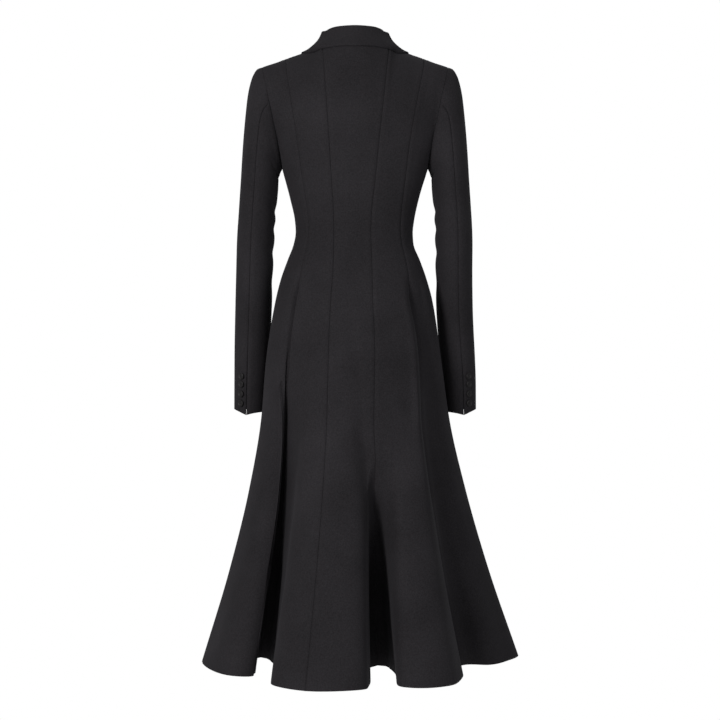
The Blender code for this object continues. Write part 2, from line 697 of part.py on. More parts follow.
def tree_of(grids):
    """A search tree over outer faces, given as grids whose rows run down and columns run round."""
    vertices = []
    faces = []
    for grid in grids:
        rows, columns = grid.shape[:2]
        index = np.arange(rows * columns).reshape(rows, columns) + len(vertices)
        vertices.extend(Vector(point) for point in grid.reshape(-1, 3))
        for r in range(rows - 1):
            for c in range(columns - 1):
                corners = (index[r, c], index[r + 1, c], index[r + 1, c + 1], index[r, c + 1])
                faces.append(tuple(int(i) for i in corners))
    return BVHTree.FromPolygons(vertices, faces)


def make_body(wool):
    """The nine body panels; returns their outer faces."""
    outers = []
    for row in PANELS:
        outer, inner = panel_wall(row[0])
        add_wall(row[0], outer, inner, wool)
        outers.append(outer)
    return outers


def to_right_sleeve(points, row):
    """The left sleeve's points turned into the right sleeve's."""
    start, peak, end = RIGHT_SLEEVE_RINGS
    closer = ease((row - start) / (peak - start)) * ease((end - row) / (end - peak))
    turned = points * np.array([-1, 1, 1])
    turned[..., 0] += RIGHT_SLEEVE_CLOSER * closer
    return turned


def make_sleeves(wool):
    """Both sleeves; returns the outer face of each top piece."""
    row = np.arange(len(SLEEVE), dtype=float)[:, None]
    pieces = (("sleeve_top", SLEEVE_FRONT_SEAM, SLEEVE_BACK_SEAM, -1),
              ("sleeve_under", SLEEVE_BACK_SEAM, SLEEVE_FRONT_SEAM + 360, 0))
    for name, start, end, vent_column in pieces:
        outer, inner = sleeve_wall(start, end, vent_column)
        add_wall(name + "_left", outer, inner, wool)
        right = to_right_sleeve(outer, row)
        add_wall(name + "_right", right, to_right_sleeve(inner, row), wool)
        if name == "sleeve_top":
            tops = {"left": outer, "right": right[:, ::-1]}
    return tops


def make_collar(wool, body):
    """Lapels lie on the body, and the fall of the collar lies on both."""
    tree = tree_of(body)
    lapels = []
    for side in ("left", "right"):
        outer, inner = lapel_wall(side, tree)
        add_wall("lapel_" + side, outer, inner, wool)
        lapels.append(outer[:, ::-1] if side == "right" else outer)
    add_wall("collar_stand", *collar_stand_wall(), wool)
    add_wall("collar_fall", *collar_fall_wall(tree_of(body + lapels)), wool)


def make_cuff_buttons(finish, tops):
    rows = np.interp(CUFF_BUTTON_DROPS, SLEEVE[:, 1], np.arange(len(SLEEVE)))
    points = sleeve_point(np.full(len(rows), CUFF_BUTTON_TURN), rows)
    places = {"left": points, "right": to_right_sleeve(points, rows)}
    for side in ("left", "right"):
        tree = tree_of([tops[side]])
        for number, point in enumerate(places[side], 1):
            add_button(f"cuff_button_{side}_{number}", point, tree, CUFF_BUTTON_RADIUS,
                       CUFF_BUTTON_HEIGHT, CUFF_BUTTON_SIDES, finish)


def make_front_buttons(finish, body):
    tree = tree_of([body[[row[0] for row in PANELS].index("front_center_right")]])
    for number, drop in enumerate(FRONT_BUTTON_DROPS, 1):
        middle = (0, -section("front", drop), -drop)
        add_button(f"front_button_{number}", middle, tree, FRONT_BUTTON_RADIUS,
                   FRONT_BUTTON_HEIGHT, FRONT_BUTTON_SIDES, finish)


def main():
    for old in list(bpy.data.objects):
        bpy.data.objects.remove(old, do_unlink=True)
    wool = material("black_wool", WOOL_COLOUR, WOOL_ROUGHNESS)
    horn = material("black_button", BUTTON_COLOUR, BUTTON_ROUGHNESS)
    body = make_body(wool)
    sleeve_tops = make_sleeves(wool)
    make_collar(wool, body)
    make_cuff_buttons(horn, sleeve_tops)
    make_front_buttons(horn, body)


main()
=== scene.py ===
"""Looks of the long fitted coat: fine cloth on its solids' forms, with seams, creases and buttons.

The coat's sizes are millimetres and become metres when a piece is made. +Z is up, the front faces -Y and the
wearer's left is +X. "drop" is the distance below the origin, which is the middle of the neck.
"""
import math

import bmesh
import bpy
import numpy as np
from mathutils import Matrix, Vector
from mathutils.bvhtree import BVHTree


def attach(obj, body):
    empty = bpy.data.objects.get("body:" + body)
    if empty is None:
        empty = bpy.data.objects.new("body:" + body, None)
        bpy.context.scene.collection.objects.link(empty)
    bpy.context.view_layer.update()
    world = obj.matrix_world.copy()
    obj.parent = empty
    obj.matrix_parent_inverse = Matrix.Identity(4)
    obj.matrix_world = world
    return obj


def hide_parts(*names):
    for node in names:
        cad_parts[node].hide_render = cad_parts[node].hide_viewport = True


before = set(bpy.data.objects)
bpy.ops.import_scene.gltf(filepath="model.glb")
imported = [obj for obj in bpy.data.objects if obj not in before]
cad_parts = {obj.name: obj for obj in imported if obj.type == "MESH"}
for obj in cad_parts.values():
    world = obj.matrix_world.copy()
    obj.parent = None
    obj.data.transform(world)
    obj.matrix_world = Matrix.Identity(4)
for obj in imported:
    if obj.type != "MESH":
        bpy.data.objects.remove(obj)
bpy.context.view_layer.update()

MM = 0.001

# Cloth and clearances
WALL = 2.0
SEAM_GAP = 0.3
LAY_GAP = 0.5
UNDERLAP_GAP = 1.0
COLLAR_CLEARANCE = 1.2

# Body: heights that the cut is built on, and how square its sections are
UNDERARM_DROP = 230.0
HEM_DROP = 1188.0
SECTION_POWER = 2.3

# Half widths and depths of the plain flared body, before the flutes
SECTION_COLUMNS = ("drop", "left", "right", "back", "front")
SECTIONS = np.array([
    (230, 141, 141, 100, 108),
    (290, 125, 123, 94, 102),
    (330, 116.5, 114.5, 88, 89),
    (352, 115, 112, 86, 85),
    (375, 119, 113.5, 88, 85),
    (404, 130, 125, 96, 88),
    (440, 143, 138, 107, 95),
    (483, 154, 150, 118, 103),
    (600, 173, 168, 136, 124),
    (717, 183, 185, 150, 146),
    (853, 206, 217, 166, 172),
    (1010, 244, 263, 184, 200),
    (1188, 297, 325, 204, 230),
], float)

# How far each princess seam lies from the middle, and below the last row its angle stays
SEAM_COLUMNS = ("drop", "outer_left", "inner_left", "inner_right", "outer_right",
                "front_right", "front_left")
SEAMS = np.array([
    (230, 104, 46, -42, -100, -92, 92),
    (352, 89, 40, -31, -88, -70, 70),
    (425, 102, 41, -33, -101, -82, 82),
    (483, 116, 45, -34, -109, -94, 94),
    (570, 129, 49, -38, -125, -106, 106),
    (717, 140, 52, -36, -137, -118, 118),
], float)

# Angle round the body of the seams that run straight down it
STRAIGHT_SEAMS = {"side_left": 0.0, "side_right": math.pi, "center_front": 1.5 * math.pi}

# Panels in order round the body, where each starts and ends on the top edge, and its end at an armhole
PANEL_COLUMNS = ("name", "first_seam", "last_seam", "top_first", "top_last", "armhole_end")
PANELS = (
    ("back_side_left", "side_left", "outer_left", 181, 135, "first"),
    ("back_mid_left", "outer_left", "inner_left", 135, 62, None),
    ("back_center", "inner_left", "inner_right", 62, -66, None),
    ("back_mid_right", "inner_right", "outer_right", -66, -135, None),
    ("back_side_right", "outer_right", "side_right", -135, -181, "last"),
    ("front_side_right", "side_right", "front_right", -181, -128, "first"),
    ("front_center_right", "front_right", "center_front", -128, -76, None),
    ("front_center_left", "center_front", "front_left", 76, 128, None),
    ("front_side_left", "front_left", "side_left", 128, 181, "last"),
)

# Flutes: a column of cloth at a share of its panel, where it ends at the hem, the drop where it leaves
# the plain body, and how it eases out (1 is straight, more stays flat for longer)
# Columns: share, hem x, hem y, start, ease
FLUTES = {
    "back_side_left": ((0.00, 297, 10, 420, 1.3), (0.42, 236, 141, 420, 1.3), (0.80, 177, 150, 420, 1.3)),
    "back_mid_left": ((0.00, 182, 4, 420, 2.0), (0.30, 157, 118, 500, 1.2), (0.65, 151, 228, 700, 1.0)),
    "back_center": ((0.00, 88, 285, 700, 1.0), (0.40, 21, 286, 700, 1.0), (0.70, -30, 262, 740, 1.0),
        (0.88, -47, 215, 770, 1.0)),
    "back_mid_right": ((0.00, -46, 81, 785, 1.0), (0.18, -60, 150, 785, 1.0),
        (0.40, -84, 248, 740, 1.0), (0.65, -135, 258, 700, 1.0), (0.90, -197, 210, 420, 1.3)),
    "back_side_right": ((0.00, -206, 92, 420, 1.5), (0.30, -258, 58, 420, 1.0),
        (0.65, -296, 0, 420, 1.3)),
    "front_side_right": ((0.00, -325, -70, 420, 1.3), (0.50, -290, -165, 450, 1.2)),
    "front_center_right": ((0.00, -205, -150, 450, 1.8), (0.30, -185, -255, 500, 1.2),
        (0.65, -105, -300, 600, 1.1)),
    "front_center_left": ((0.00, 0, -280, 600, 1.1), (0.35, 100, -298, 600, 1.1),
        (0.70, 178, -250, 500, 1.2)),
    "front_side_left": ((0.00, 200, -140, 450, 1.8), (0.50, 278, -120, 450, 1.2)),
}

# Top edge: neck ring, then the shoulder line sloping to the sleeve head
NECK_HALF_WIDTH = 76.0
NECK_BACK = 74.0
NECK_SIDE_Z = 7.6
NECK_BACK_Z = 6.0
SHOULDER_SLOPE = 0.36

# How the bodice rounds over the shoulder and into the armhole
SHOULDER_ROUND = 0.12
BODICE_HANDLE = 0.40
STRAIGHT_HANDLE = 1 / 3
ARMHOLE_REACH = 77.0
ARMHOLE_REACH_POWER = 4
ARMHOLE_LOW_REACH = 74.0
ARMHOLE_LOW_RISE = 30.0
ARMHOLE_BLEND = 0.6
ROLL_LINE_REACH = 0.62

# Front closing: right over left
FRONT_OVERLAP = 25.0
UNDERLAP_NEAR = 32.0
UNDERLAP_FAR = 75.0
UNDERLAP_TOP_DROP = 110.0
UNDERLAP_FULL_DROP = 170.0

# Columns of the solids' walls: for each flute, and in the front overlap
COLUMNS_PER_FLUTE = 3
OVERLAP_COLUMNS = 2

# Sleeve rings from the armhole to the cuff: outer and inner points, and how deep the ring is
SLEEVE_COLUMNS = ("outer_x", "outer_drop", "inner_x", "inner_drop", "mid_y", "half_depth")
SLEEVE = np.array([
    (182, 30, 142, 230, 0, 58),
    (190, 33.5, 143.5, 231.5, 0, 59.5),
    (199, 47, 145, 234, 0, 61),
    (208, 80, 146.5, 238, 0, 62),
    (214, 130, 147.5, 243, -1, 62),
    (219, 190, 148.5, 250, -2, 61),
    (223, 255, 150, 268, -3, 60),
    (227, 310, 154, 312, -8, 57),
    (231, 365, 157.5, 365, -14, 54.5),
    (233.5, 425, 161, 425, -26, 51.5),
    (236.5, 500, 164.5, 500, -42, 48),
    (239, 580, 169, 580, -55, 45),
    (240, 650, 174, 650, -63, 43),
    (240.5, 697, 177, 703, -67, 42),
], float)

# Sleeve seams in degrees round the ring, then the cuff's pointed tip and its vent, in rings and millimetres
SLEEVE_BACK_SEAM = 80.0
SLEEVE_FRONT_SEAM = -120.0
CUFF_TIP_DROP = 9.0
CUFF_TIP_ROWS = 1.5
VENT_ROWS = 2.0
VENT_HALF_OPENING = 1.0

# The right sleeve hangs this much closer to the skirt at the elbow: rings where that starts, peaks, ends
RIGHT_SLEEVE_CLOSER = 4.0
RIGHT_SLEEVE_RINGS = (7.0, 10.0, 12.0)

# Collar from the middle of the back to the notch: the fold, the fall's lower edge and the neck seam
COLLAR_COLUMNS = ("fold_x", "fold_y", "fold_z", "edge_x", "edge_y", "edge_z",
                  "seam_x", "seam_y", "seam_z")
COLLAR = np.array([
    (0, 62, 41, 0, 86, 0, 0, 71, 0),
    (35, 52, 40.5, 54, 72, 0, 41, 58, 1),
    (54.5, 29, 38, 91, 32, 0, 66, 31, 2),
    (61, 3, 33, 106, -12, -4, 72, 2, 2),
    (66, -20, 12, 110, -40, -22, 70, -20, -8),
    (56, -43, -17, 97, -66, -47, 60, -44, -34),
], float)

# The fall's top edge: steps in towards the neck and up from the fold
FOLD_LIP = ((4.4, -6.0), (4.4, -4.0), (4.4, -2.0), (3.9, -0.9), (3.0, -0.2), (1.8, 0.0),
            (0.6, -0.5), (-0.2, -1.3), (-0.8, -2.4))

# Where the stand ends, its upright part, and how the fall bows between the fold and its lower edge
STAND_END_TURN = 3.4
STAND_UPRIGHT = 5.0
FALL_BOW_ACROSS = 0.40
FALL_BOW_DOWN = 0.58

# Lapels, as shares of the front panel: gorge at the fold and at the point, and the width at the point
LAPEL_TOP_FOLD = 0.25
LAPEL_TOP_POINT = 0.41
LAPEL_WIDTH = 0.86
LAPEL_END_WIDTH = 0.10
LAPEL_END_RIGHT = 0.96
LAPEL_END_LEFT = 0.60
LAPEL_TAPER = 0.9

# Buttons: radius and height, drops, and degrees round the sleeve
CUFF_BUTTON = (6.6, 4.0)
CUFF_BUTTON_DROPS = (629, 646, 663, 680)
CUFF_BUTTON_TURN = 62.0
FRONT_BUTTON = (11.0, 5.5)
FRONT_BUTTON_DROPS = (262, 334, 406)

# Fine grids: rows and columns of each kind of piece, and the shares of its width beside each edge
UPPER_STEPS = 44
LOWER_STEPS = 112
COLUMNS_BETWEEN = 9
SLEEVE_STEPS = 150
SLEEVE_GRID_COLUMNS = 40
COLLAR_TURNS = 141
FALL_ROWS = 22
STAND_TURNS = 81
STAND_ROWS = 8
LAPEL_ROWS = 60
LAPEL_COLUMNS = 32
EDGE_COLUMNS = (0.0, 0.006, 0.015, 0.03, 0.05)

# How cloth rolls down into a seam and swells beside it
SEAM_ROLL = 1.5
SEAM_ROLL_REACH = 1.8
SEAM_PUFF = 0.35
SEAM_PUFF_AT = 7.0
SEAM_PUFF_REACH = 4.0

# How cloth turns in at an armhole, and how many reaches of that turn a sleeve's seams take to begin
ARMHOLE_ROLL = 2.0
ARMHOLE_ROLL_REACH = 3.0
ARMHOLE_ROLL_FADE = 4
ARMHOLE_TOP_EASE = 0.85
ARMHOLE_TURN_STEP = 20.0
UNDERARM_BLEND = 0.12

# Panels with a corner between neck and shoulder, and how that corner is rounded
NECK_PANELS = ("back_mid_left", "back_mid_right", "front_center_left", "front_center_right")
NECK_SMOOTH_PASSES = 40
NECK_SMOOTH_RATE = 0.5
NECK_SMOOTH_DOWN = (0.0, 0.06, 0.35, 0.75)

# How turned-down cloth is lifted off what lies beneath, and how closely its free edge settles
LIFT_PASSES = 40
SETTLE_POWER = 8.0

# Creases of the skirt, seen from straight behind or before: line as (x, drop), then at the line's start and
# end the depth, the half width on the +X side and the half width on the other side
CREASES = (
    (((100, 415), (117, 486), (127, 543), (140, 676), (147, 790), (151, 906), (156, 1003), (168, 1102),
      (177, 1188)), (3.0, 18.0), (6.0, 26.0), (4.0, 16.0)),
    (((10, 500), (5, 544), (-6, 619), (-10, 694)), (1.6, 3.0), (11.0, 14.0), (9.0, 11.0)),
    (((-10, 660), (-14, 720), (-23, 776), (-26, 813), (-38, 898), (-44, 994), (-48, 1090), (-54, 1188)),
     (4.0, 20.0), (13.0, 30.0), (8.0, 15.0)),
    (((-116, 425), (-128, 470), (-138, 540)), (2.2, 2.2), (5.0, 5.0), (5.0, 5.0)),
    (((62, 470), (50, 560), (44, 660)), (1.0, 1.0), (14.0, 16.0), (14.0, 16.0)),
    (((-62, 480), (-74, 560), (-82, 680)), (1.2, 1.2), (14.0, 18.0), (14.0, 18.0)),
)

# The broad hollow beside the right side fold, in the same terms and pressed straight in
HOLLOWS = (
    (((-98, 425), (-108, 487), (-119, 534), (-128, 600), (-135, 675), (-141, 750), (-148, 806), (-159, 890),
      (-173, 985), (-187, 1081), (-206, 1188)), (9.0, 50.0), (6.0, 15.0), (18.0, 58.0)),
)

# Creases of the front, in the same terms
FRONT_CREASES = (
    (((96, 420), (118, 560), (150, 800), (196, 1188)), (3.0, 8.0), (6.0, 18.0), (5.0, 12.0)),
    (((-96, 420), (-118, 560), (-152, 800), (-202, 1188)), (3.0, 9.0), (5.0, 10.0), (7.0, 22.0)),
    (((30, 640), (48, 820), (62, 1188)), (1.0, 4.0), (12.0, 18.0), (12.0, 18.0)),
)

# Length over which a crease begins and ends, and the width beside a side seam where it dies out
CREASE_FADE = 60.0
SIDE_SEAM_FADE = 30.0

# Seams that sink into the skirt's folds: from drop, to drop, depth, half width
SUNK_SEAMS = {"outer_left": (430.0, 900.0, 5.0, 5.0), "outer_right": (430.0, 900.0, 4.5, 6.5)}

# Sewn edges meet and lap a little on the inside, so no light comes through a seam
SEWN_LAP = 0.4

# Soft folds of the sleeves: ring, turn in degrees, depth, half width along and round, slant
SLEEVE_FOLDS = (
    (6.9, 176, 3.2, 0.22, 38, 0.004),
    (7.6, 188, 2.8, 0.20, 34, -0.003),
    (8.4, 178, 2.8, 0.22, 40, 0.003),
    (9.3, 190, 1.8, 0.25, 34, -0.002),
    (4.2, 165, 3.6, 0.50, 26, 0.006),
    (5.2, -150, 1.4, 0.40, 26, -0.004),
)

# Floor and camera, in metres, with the lens and its sensor in millimetres
FLOOR_DROP = 1.46
FLOOR_SIZE = 24.0
CAMERA_BACK = 3.2
CAMERA_X = -0.00975
CAMERA_Z = -0.600
CAMERA_LENS = 82.05
SENSOR = 36.0
VIEW_DEPTH = 100.0

# A button's profile as shares of its radius and height
BUTTON_RINGS = ((0.3, 0.0), (0.3, 0.28), (0.80, 0.30), (0.92, 0.36), (0.985, 0.48), (1.0, 0.60),
                (0.985, 0.74), (0.94, 0.88), (0.86, 0.97), (0.78, 1.0), (0.70, 0.97), (0.63, 0.88),
                (0.57, 0.80), (0.45, 0.76), (0.2, 0.75))
BUTTON_SIDES = 40

# Holes and thread: places and radii as shares of the button's radius, heights in millimetres
HOLE_RINGS = ((0.6, 0.0), (1.0, 0.1), (1.0, 0.95), (0.8, 1.0))
HOLE_SIDES = 12
HOLE_PLACE = 0.20
HOLE_RADIUS = 0.10
HOLE_SINK = 0.4
HOLE_HEIGHT = 0.45
THREAD_SIDES = 8
THREAD_RADIUS = 0.055
THREAD_LIFT = 0.5
THREAD_BEND = 0.2

# Wool: textures and their shares of the colour, colours with where each starts, bump and surface
WEAVE = {"Scale": 180.0, "Distortion": 1.2, "Detail": 1.0}
FUZZ = {"Scale": 420.0, "Detail": 3.0}
DYE = {"Scale": 9.0, "Detail": 2.0}
FUZZ_SHARE = 0.6
DYE_SHARE = 0.4
WOOL_COLOURS = ((0.30, (0.0130, 0.0118, 0.0135, 1.0)), (0.70, (0.0330, 0.0304, 0.0345, 1.0)))
WOOL_BUMP = {"Strength": 0.35, "Distance": 0.0003}
WOOL_SURFACE = {"Roughness": 0.88, "Specular IOR Level": 0.18, "Sheen Weight": 0.06,
                "Sheen Roughness": 0.45, "Sheen Tint": (0.80, 0.78, 0.86, 1.0)}

# Buttons and thread, in the same terms
CLOUD = {"Scale": 260.0, "Detail": 4.0, "Distortion": 1.5}
HORN_COLOURS = ((0.35, (0.010, 0.009, 0.010, 1.0)), (0.75, (0.030, 0.028, 0.029, 1.0)))
HORN_ROUGHNESS = {"To Min": 0.40, "To Max": 0.58}
HORN_SURFACE = {"Specular IOR Level": 0.3}
TWIST = {"Scale": 900.0}
THREAD_COLOURS = ((0.0, (0.008, 0.008, 0.009, 1.0)), (1.0, (0.022, 0.021, 0.023, 1.0)))
THREAD_BUMP = {"Strength": 0.4, "Distance": 0.0002}
THREAD_SURFACE = {"Roughness": 0.6}

# The shader's name in every material
SHADER = "Principled BSDF"

# Floor, surroundings and lamps: name, place, aim, size, power, colour
WHITE = (1.0, 1.0, 1.0, 1.0)
FLOOR_SURFACE = {"Base Color": (0.70, 0.70, 0.70, 1.0), "Roughness": 0.9}
WORLD_LIGHT = 0.22
LAMPS = (
    ("key", (1.9, 3.1, 0.3), (0.0, 0.0, -0.6), 1.1, 68.0, (1.0, 0.99, 0.98)),
    ("fill", (-2.3, 2.9, 0.2), (0.0, 0.0, -0.6), 1.6, 17.0, (0.98, 0.99, 1.0)),
)

# Small steps for slopes, as a share and in degrees, a length that keeps a divisor off zero, and the
# angle in degrees past which an edge is shaded sharp
SMALL = 1e-3
SMALL_TURN = 0.1
TINY = 1e-9
SHARP_ANGLE = 55


def smooth(rows, values, at):
    """A table's value between its rows, on a cubic that never overshoots."""
    rows = np.asarray(rows, float)
    values = np.asarray(values, float)
    gaps = np.diff(rows)
    slopes = np.diff(values) / gaps
    tangents = np.concatenate([slopes[:1], np.zeros(len(rows) - 2), slopes[-1:]])
    for i in range(1, len(rows) - 1):
        if slopes[i - 1] * slopes[i] > 0:
            before = 2 * gaps[i] + gaps[i - 1]
            after = gaps[i] + 2 * gaps[i - 1]
            tangents[i] = (before + after) / (before / slopes[i - 1] + after / slopes[i])
    at = np.clip(at, rows[0], rows[-1])
    i = np.clip(np.searchsorted(rows, at, side="right") - 1, 0, len(gaps) - 1)
    f = (at - rows[i]) / gaps[i]
    rise = gaps[i] * (tangents[i] * f * (1 - f) ** 2 - tangents[i + 1] * f * f * (1 - f))
    return values[i] + (values[i + 1] - values[i]) * f * f * (3 - 2 * f) + rise


def ease(value):
    """0 to 1 with flat ends."""
    value = np.clip(value, 0.0, 1.0)
    return value * value * (3 - 2 * value)


def mix(a, b, weight):
    """A share of the way from a to b."""
    return a + (b - a) * weight


def unit(vectors):
    """Vectors of length 1."""
    return vectors / np.linalg.norm(vectors, axis=-1, keepdims=True)


def signed_power(value, power):
    """A power that keeps its value's sign."""
    return np.sign(value) * np.abs(value) ** power


def section(column, drop):
    """Half width or depth of the plain body."""
    i = SECTION_COLUMNS.index(column)
    return smooth(SECTIONS[:, 0], SECTIONS[:, i], drop)


def seam_angle(seam, drop):
    """Angle of a seam round the plain body: 0 at the left side, then back, right side, front."""
    if seam in STRAIGHT_SEAMS:
        return np.full(np.shape(drop), STRAIGHT_SEAMS[seam])
    held = np.minimum(drop, SEAMS[-1, 0])
    across = smooth(SEAMS[:, 0], SEAMS[:, SEAM_COLUMNS.index(seam)], held)
    half = np.where(across > 0, section("left", held), section("right", held))
    angle = np.arccos(signed_power(across / half, SECTION_POWER / 2))
    return 2 * math.pi - angle if seam.startswith("front") else angle


def plain_body(angle, drop):
    """A point of the plain flared body, before the flutes."""
    across = np.cos(angle)
    deep = np.sin(angle)
    half = np.where(across > 0, section("left", drop), section("right", drop))
    depth = np.where(deep > 0, section("back", drop), section("front", drop))
    power = 2 / SECTION_POWER
    return np.stack([half * signed_power(across, power), depth * signed_power(deep, power)], -1)


def flute_columns(drop):
    """Where every flute's column of cloth is at each drop."""
    columns = []
    for panel, first, last, *_ in PANELS:
        angles = []
        for level in (drop, np.full_like(drop, HEM_DROP)):
            begin = seam_angle(first, level)
            finish = seam_angle(last, level)
            angles.append((level, begin, np.where(finish < begin, finish + 2 * math.pi, finish)))
        for share, hem_x, hem_y, start, power in FLUTES[panel]:
            here, hem = (plain_body(mix(begin, finish, share), level) for level, begin, finish in angles)
            weight = np.clip((drop - start) / (HEM_DROP - start), 0, 1) ** power
            columns.append(here + weight[:, None] * (np.array([hem_x, hem_y]) - hem))
    return np.stack(columns, 1)


def through(p0, p1, p2, p3, f):
    """Between p1 and p2 on a smooth curve through four points of uneven spacing."""
    def step(a, b):
        return np.sqrt(np.linalg.norm(b - a, axis=-1, keepdims=True)) + TINY
    k1 = step(p0, p1)
    k2 = k1 + step(p1, p2)
    k3 = k2 + step(p2, p3)
    t = k1 + f[..., None] * (k2 - k1)
    a1 = mix(p0, p1, t / k1)
    a2 = mix(p1, p2, (t - k1) / (k2 - k1))
    a3 = mix(p2, p3, (t - k2) / (k3 - k2))
    b1 = mix(a1, a2, t / k2)
    b2 = mix(a2, a3, (t - k1) / (k3 - k1))
    return mix(b1, b2, (t - k1) / (k2 - k1))


def body_point(place, drop):
    """Point of the body below the underarm; place counts flute columns round it."""
    place, drop = np.broadcast_arrays(np.asarray(place, float), np.asarray(drop, float))
    levels, level = np.unique(drop.ravel(), return_inverse=True)
    columns = flute_columns(levels)[level]
    count = columns.shape[1]
    flat = place.ravel()
    index = np.floor(flat).astype(int)
    rows = np.arange(len(flat))
    near = [columns[rows, (index + k) % count] for k in (-1, 0, 1, 2)]
    plan = through(*near, flat - index).reshape(place.shape + (2,))
    return np.concatenate([plan, -drop[..., None]], -1)


def panel_value(panel, column):
    """One entry of the table of panels."""
    row = next(row for row in PANELS if row[0] == panel)
    return row[PANEL_COLUMNS.index(column)]


def panel_places(panel):
    """First and last flute column of a panel, and the shares between them."""
    before = [row[0] for row in PANELS]
    first = sum(len(FLUTES[name]) for name in before[:before.index(panel)])
    shares = [row[0] for row in FLUTES[panel]] + [1.0]
    return first, first + len(shares) - 1, shares


def panel_place(panel, across, drop):
    """Place round the body of a point across a panel (0 to 1); the fronts run on past the middle."""
    first, last, shares = panel_places(panel)
    if not panel.startswith("front_center"):
        return mix(first, last, across)
    right = panel.endswith("right")
    far, middle = (first, last) if right else (last, first)
    beside = body_point(middle + SMALL, drop) - body_point(middle - SMALL, drop)
    over = FRONT_OVERLAP * 2 * SMALL / np.linalg.norm(beside, axis=-1) * (1 if right else -1)
    lap = OVERLAP_COLUMNS / (COLUMNS_PER_FLUTE * (last - first))
    share = across if right else 1 - across
    lapped = mix(middle - over, middle + over, (share - 1 + lap) / lap)
    return np.where(share < 1 - lap, mix(far, middle - over, share / (1 - lap)), lapped)


def lower_point(panel, across, drop):
    """Point of a panel below the underarm."""
    return body_point(panel_place(panel, across, drop), drop)


def top_edge(panel, across):
    """Point of a panel's top edge, on the neck or on the shoulder."""
    first, last, shares = panel_places(panel)
    share = across
    if not panel.startswith("front_center"):
        share = np.interp(across * (last - first), np.arange(len(shares)), shares)
    x = mix(panel_value(panel, "top_first"), panel_value(panel, "top_last"), share)
    out = np.abs(x)
    side = 1 if panel.startswith("back") else -1
    neck_y = NECK_BACK * np.sqrt(np.clip(1 - (out / NECK_HALF_WIDTH) ** 2, 0, 1)) + SEAM_GAP / 2
    neck_z = mix(NECK_BACK_Z, NECK_SIDE_Z, out / NECK_HALF_WIDTH)
    on_neck = out < NECK_HALF_WIDTH
    y = np.where(on_neck, neck_y, side * SEAM_GAP / 2)
    z = np.where(on_neck, neck_z, NECK_SIDE_Z - SHOULDER_SLOPE * (out - NECK_HALF_WIDTH))
    return np.stack([x, y, z], -1)


def from_armhole(panel, across):
    """0 at the armhole edge, 1 at the panel's other seam, and 1 on panels without an armhole."""
    end = panel_value(panel, "armhole_end")
    if end is None:
        return np.ones_like(across)
    return across if end == "first" else 1 - across


def upper_point(panel, across, down):
    """Point of a panel above the underarm; down runs from the top edge (0) to the underarm (1)."""
    side = 1 if panel.startswith("back") else -1
    top = top_edge(panel, across)
    low = lower_point(panel, across, UNDERARM_DROP)
    below = lower_point(panel, across, UNDERARM_DROP + 1.0)
    height = (top[..., 2] - low[..., 2])[..., None]
    first = np.stack([top[..., 0], low[..., 1], top[..., 2] - SHOULDER_ROUND * height[..., 0]], -1)
    second = low + (low - below) * BODICE_HANDLE * height
    inside = from_armhole(panel, across)[..., None]
    reach = np.array([0, side * ARMHOLE_REACH, 0])
    first = mix(top + reach, first, ease(inside))
    first[..., 1] = mix(side * ARMHOLE_REACH, low[..., 1], inside[..., 0] ** ARMHOLE_REACH_POWER)
    deep = mix(side * ARMHOLE_LOW_REACH, second[..., 1], inside[..., 0])
    second = mix(low + np.array([0, 0, ARMHOLE_LOW_RISE]), second, ease(inside / ARMHOLE_BLEND))
    second[..., 1] = deep
    if panel.startswith("front_center"):
        edge = ease(across if panel.endswith("right") else 1 - across)
        first[..., 0] = mix(top[..., 0], mix(top[..., 0], low[..., 0], STRAIGHT_HANDLE), edge)
        first[..., 1] *= mix(1.0, ROLL_LINE_REACH, edge)
        second[..., 0] = mix(second[..., 0], mix(low[..., 0], top[..., 0], STRAIGHT_HANDLE), edge)
    t = down[..., None]
    return (1 - t) ** 3 * top + 3 * t * (1 - t) ** 2 * first + 3 * t * t * (1 - t) * second + t ** 3 * low


def bare_panel_point(panel, across, down):
    """Point of a panel's outer face; down is 0 to 1 above the underarm and 1 to 2 below it."""
    across, down = np.broadcast_arrays(np.asarray(across, float), np.asarray(down, float))
    above = upper_point(panel, across, np.clip(down, 0, 1))
    drop = mix(UNDERARM_DROP, HEM_DROP, np.clip(down - 1, 0, 1))
    return np.where(down[..., None] < 1, above, lower_point(panel, across, drop))


def panel_frame(panel, across, down):
    """Point, outward normal and the direction across a panel, with the left front tucked under."""
    point = bare_panel_point(panel, across, down)
    ahead = bare_panel_point(panel, np.clip(across + SMALL, 0, 1), down)
    behind = bare_panel_point(panel, np.clip(across - SMALL, 0, 1), down)
    up = bare_panel_point(panel, across, np.clip(down - SMALL, 0, 2))
    under = bare_panel_point(panel, across, np.clip(down + SMALL, 0, 2))
    tangent = unit(ahead - behind)
    normal = np.cross(tangent, up - under)
    on_shoulder = (down <= 0) & (np.abs(point[..., 0]) >= NECK_HALF_WIDTH - SMALL)
    normal[..., 1] = np.where(on_shoulder, 0.0, normal[..., 1])
    normal = unit(normal)
    if panel == "front_center_left":
        near = ease((UNDERLAP_FAR - point[..., 0]) / (UNDERLAP_FAR - UNDERLAP_NEAR))
        deep = ease((-point[..., 2] - UNDERLAP_TOP_DROP) / (UNDERLAP_FULL_DROP - UNDERLAP_TOP_DROP))
        point = point - normal * ((WALL + UNDERLAP_GAP) * near * deep)[..., None]
    return point, normal, tangent


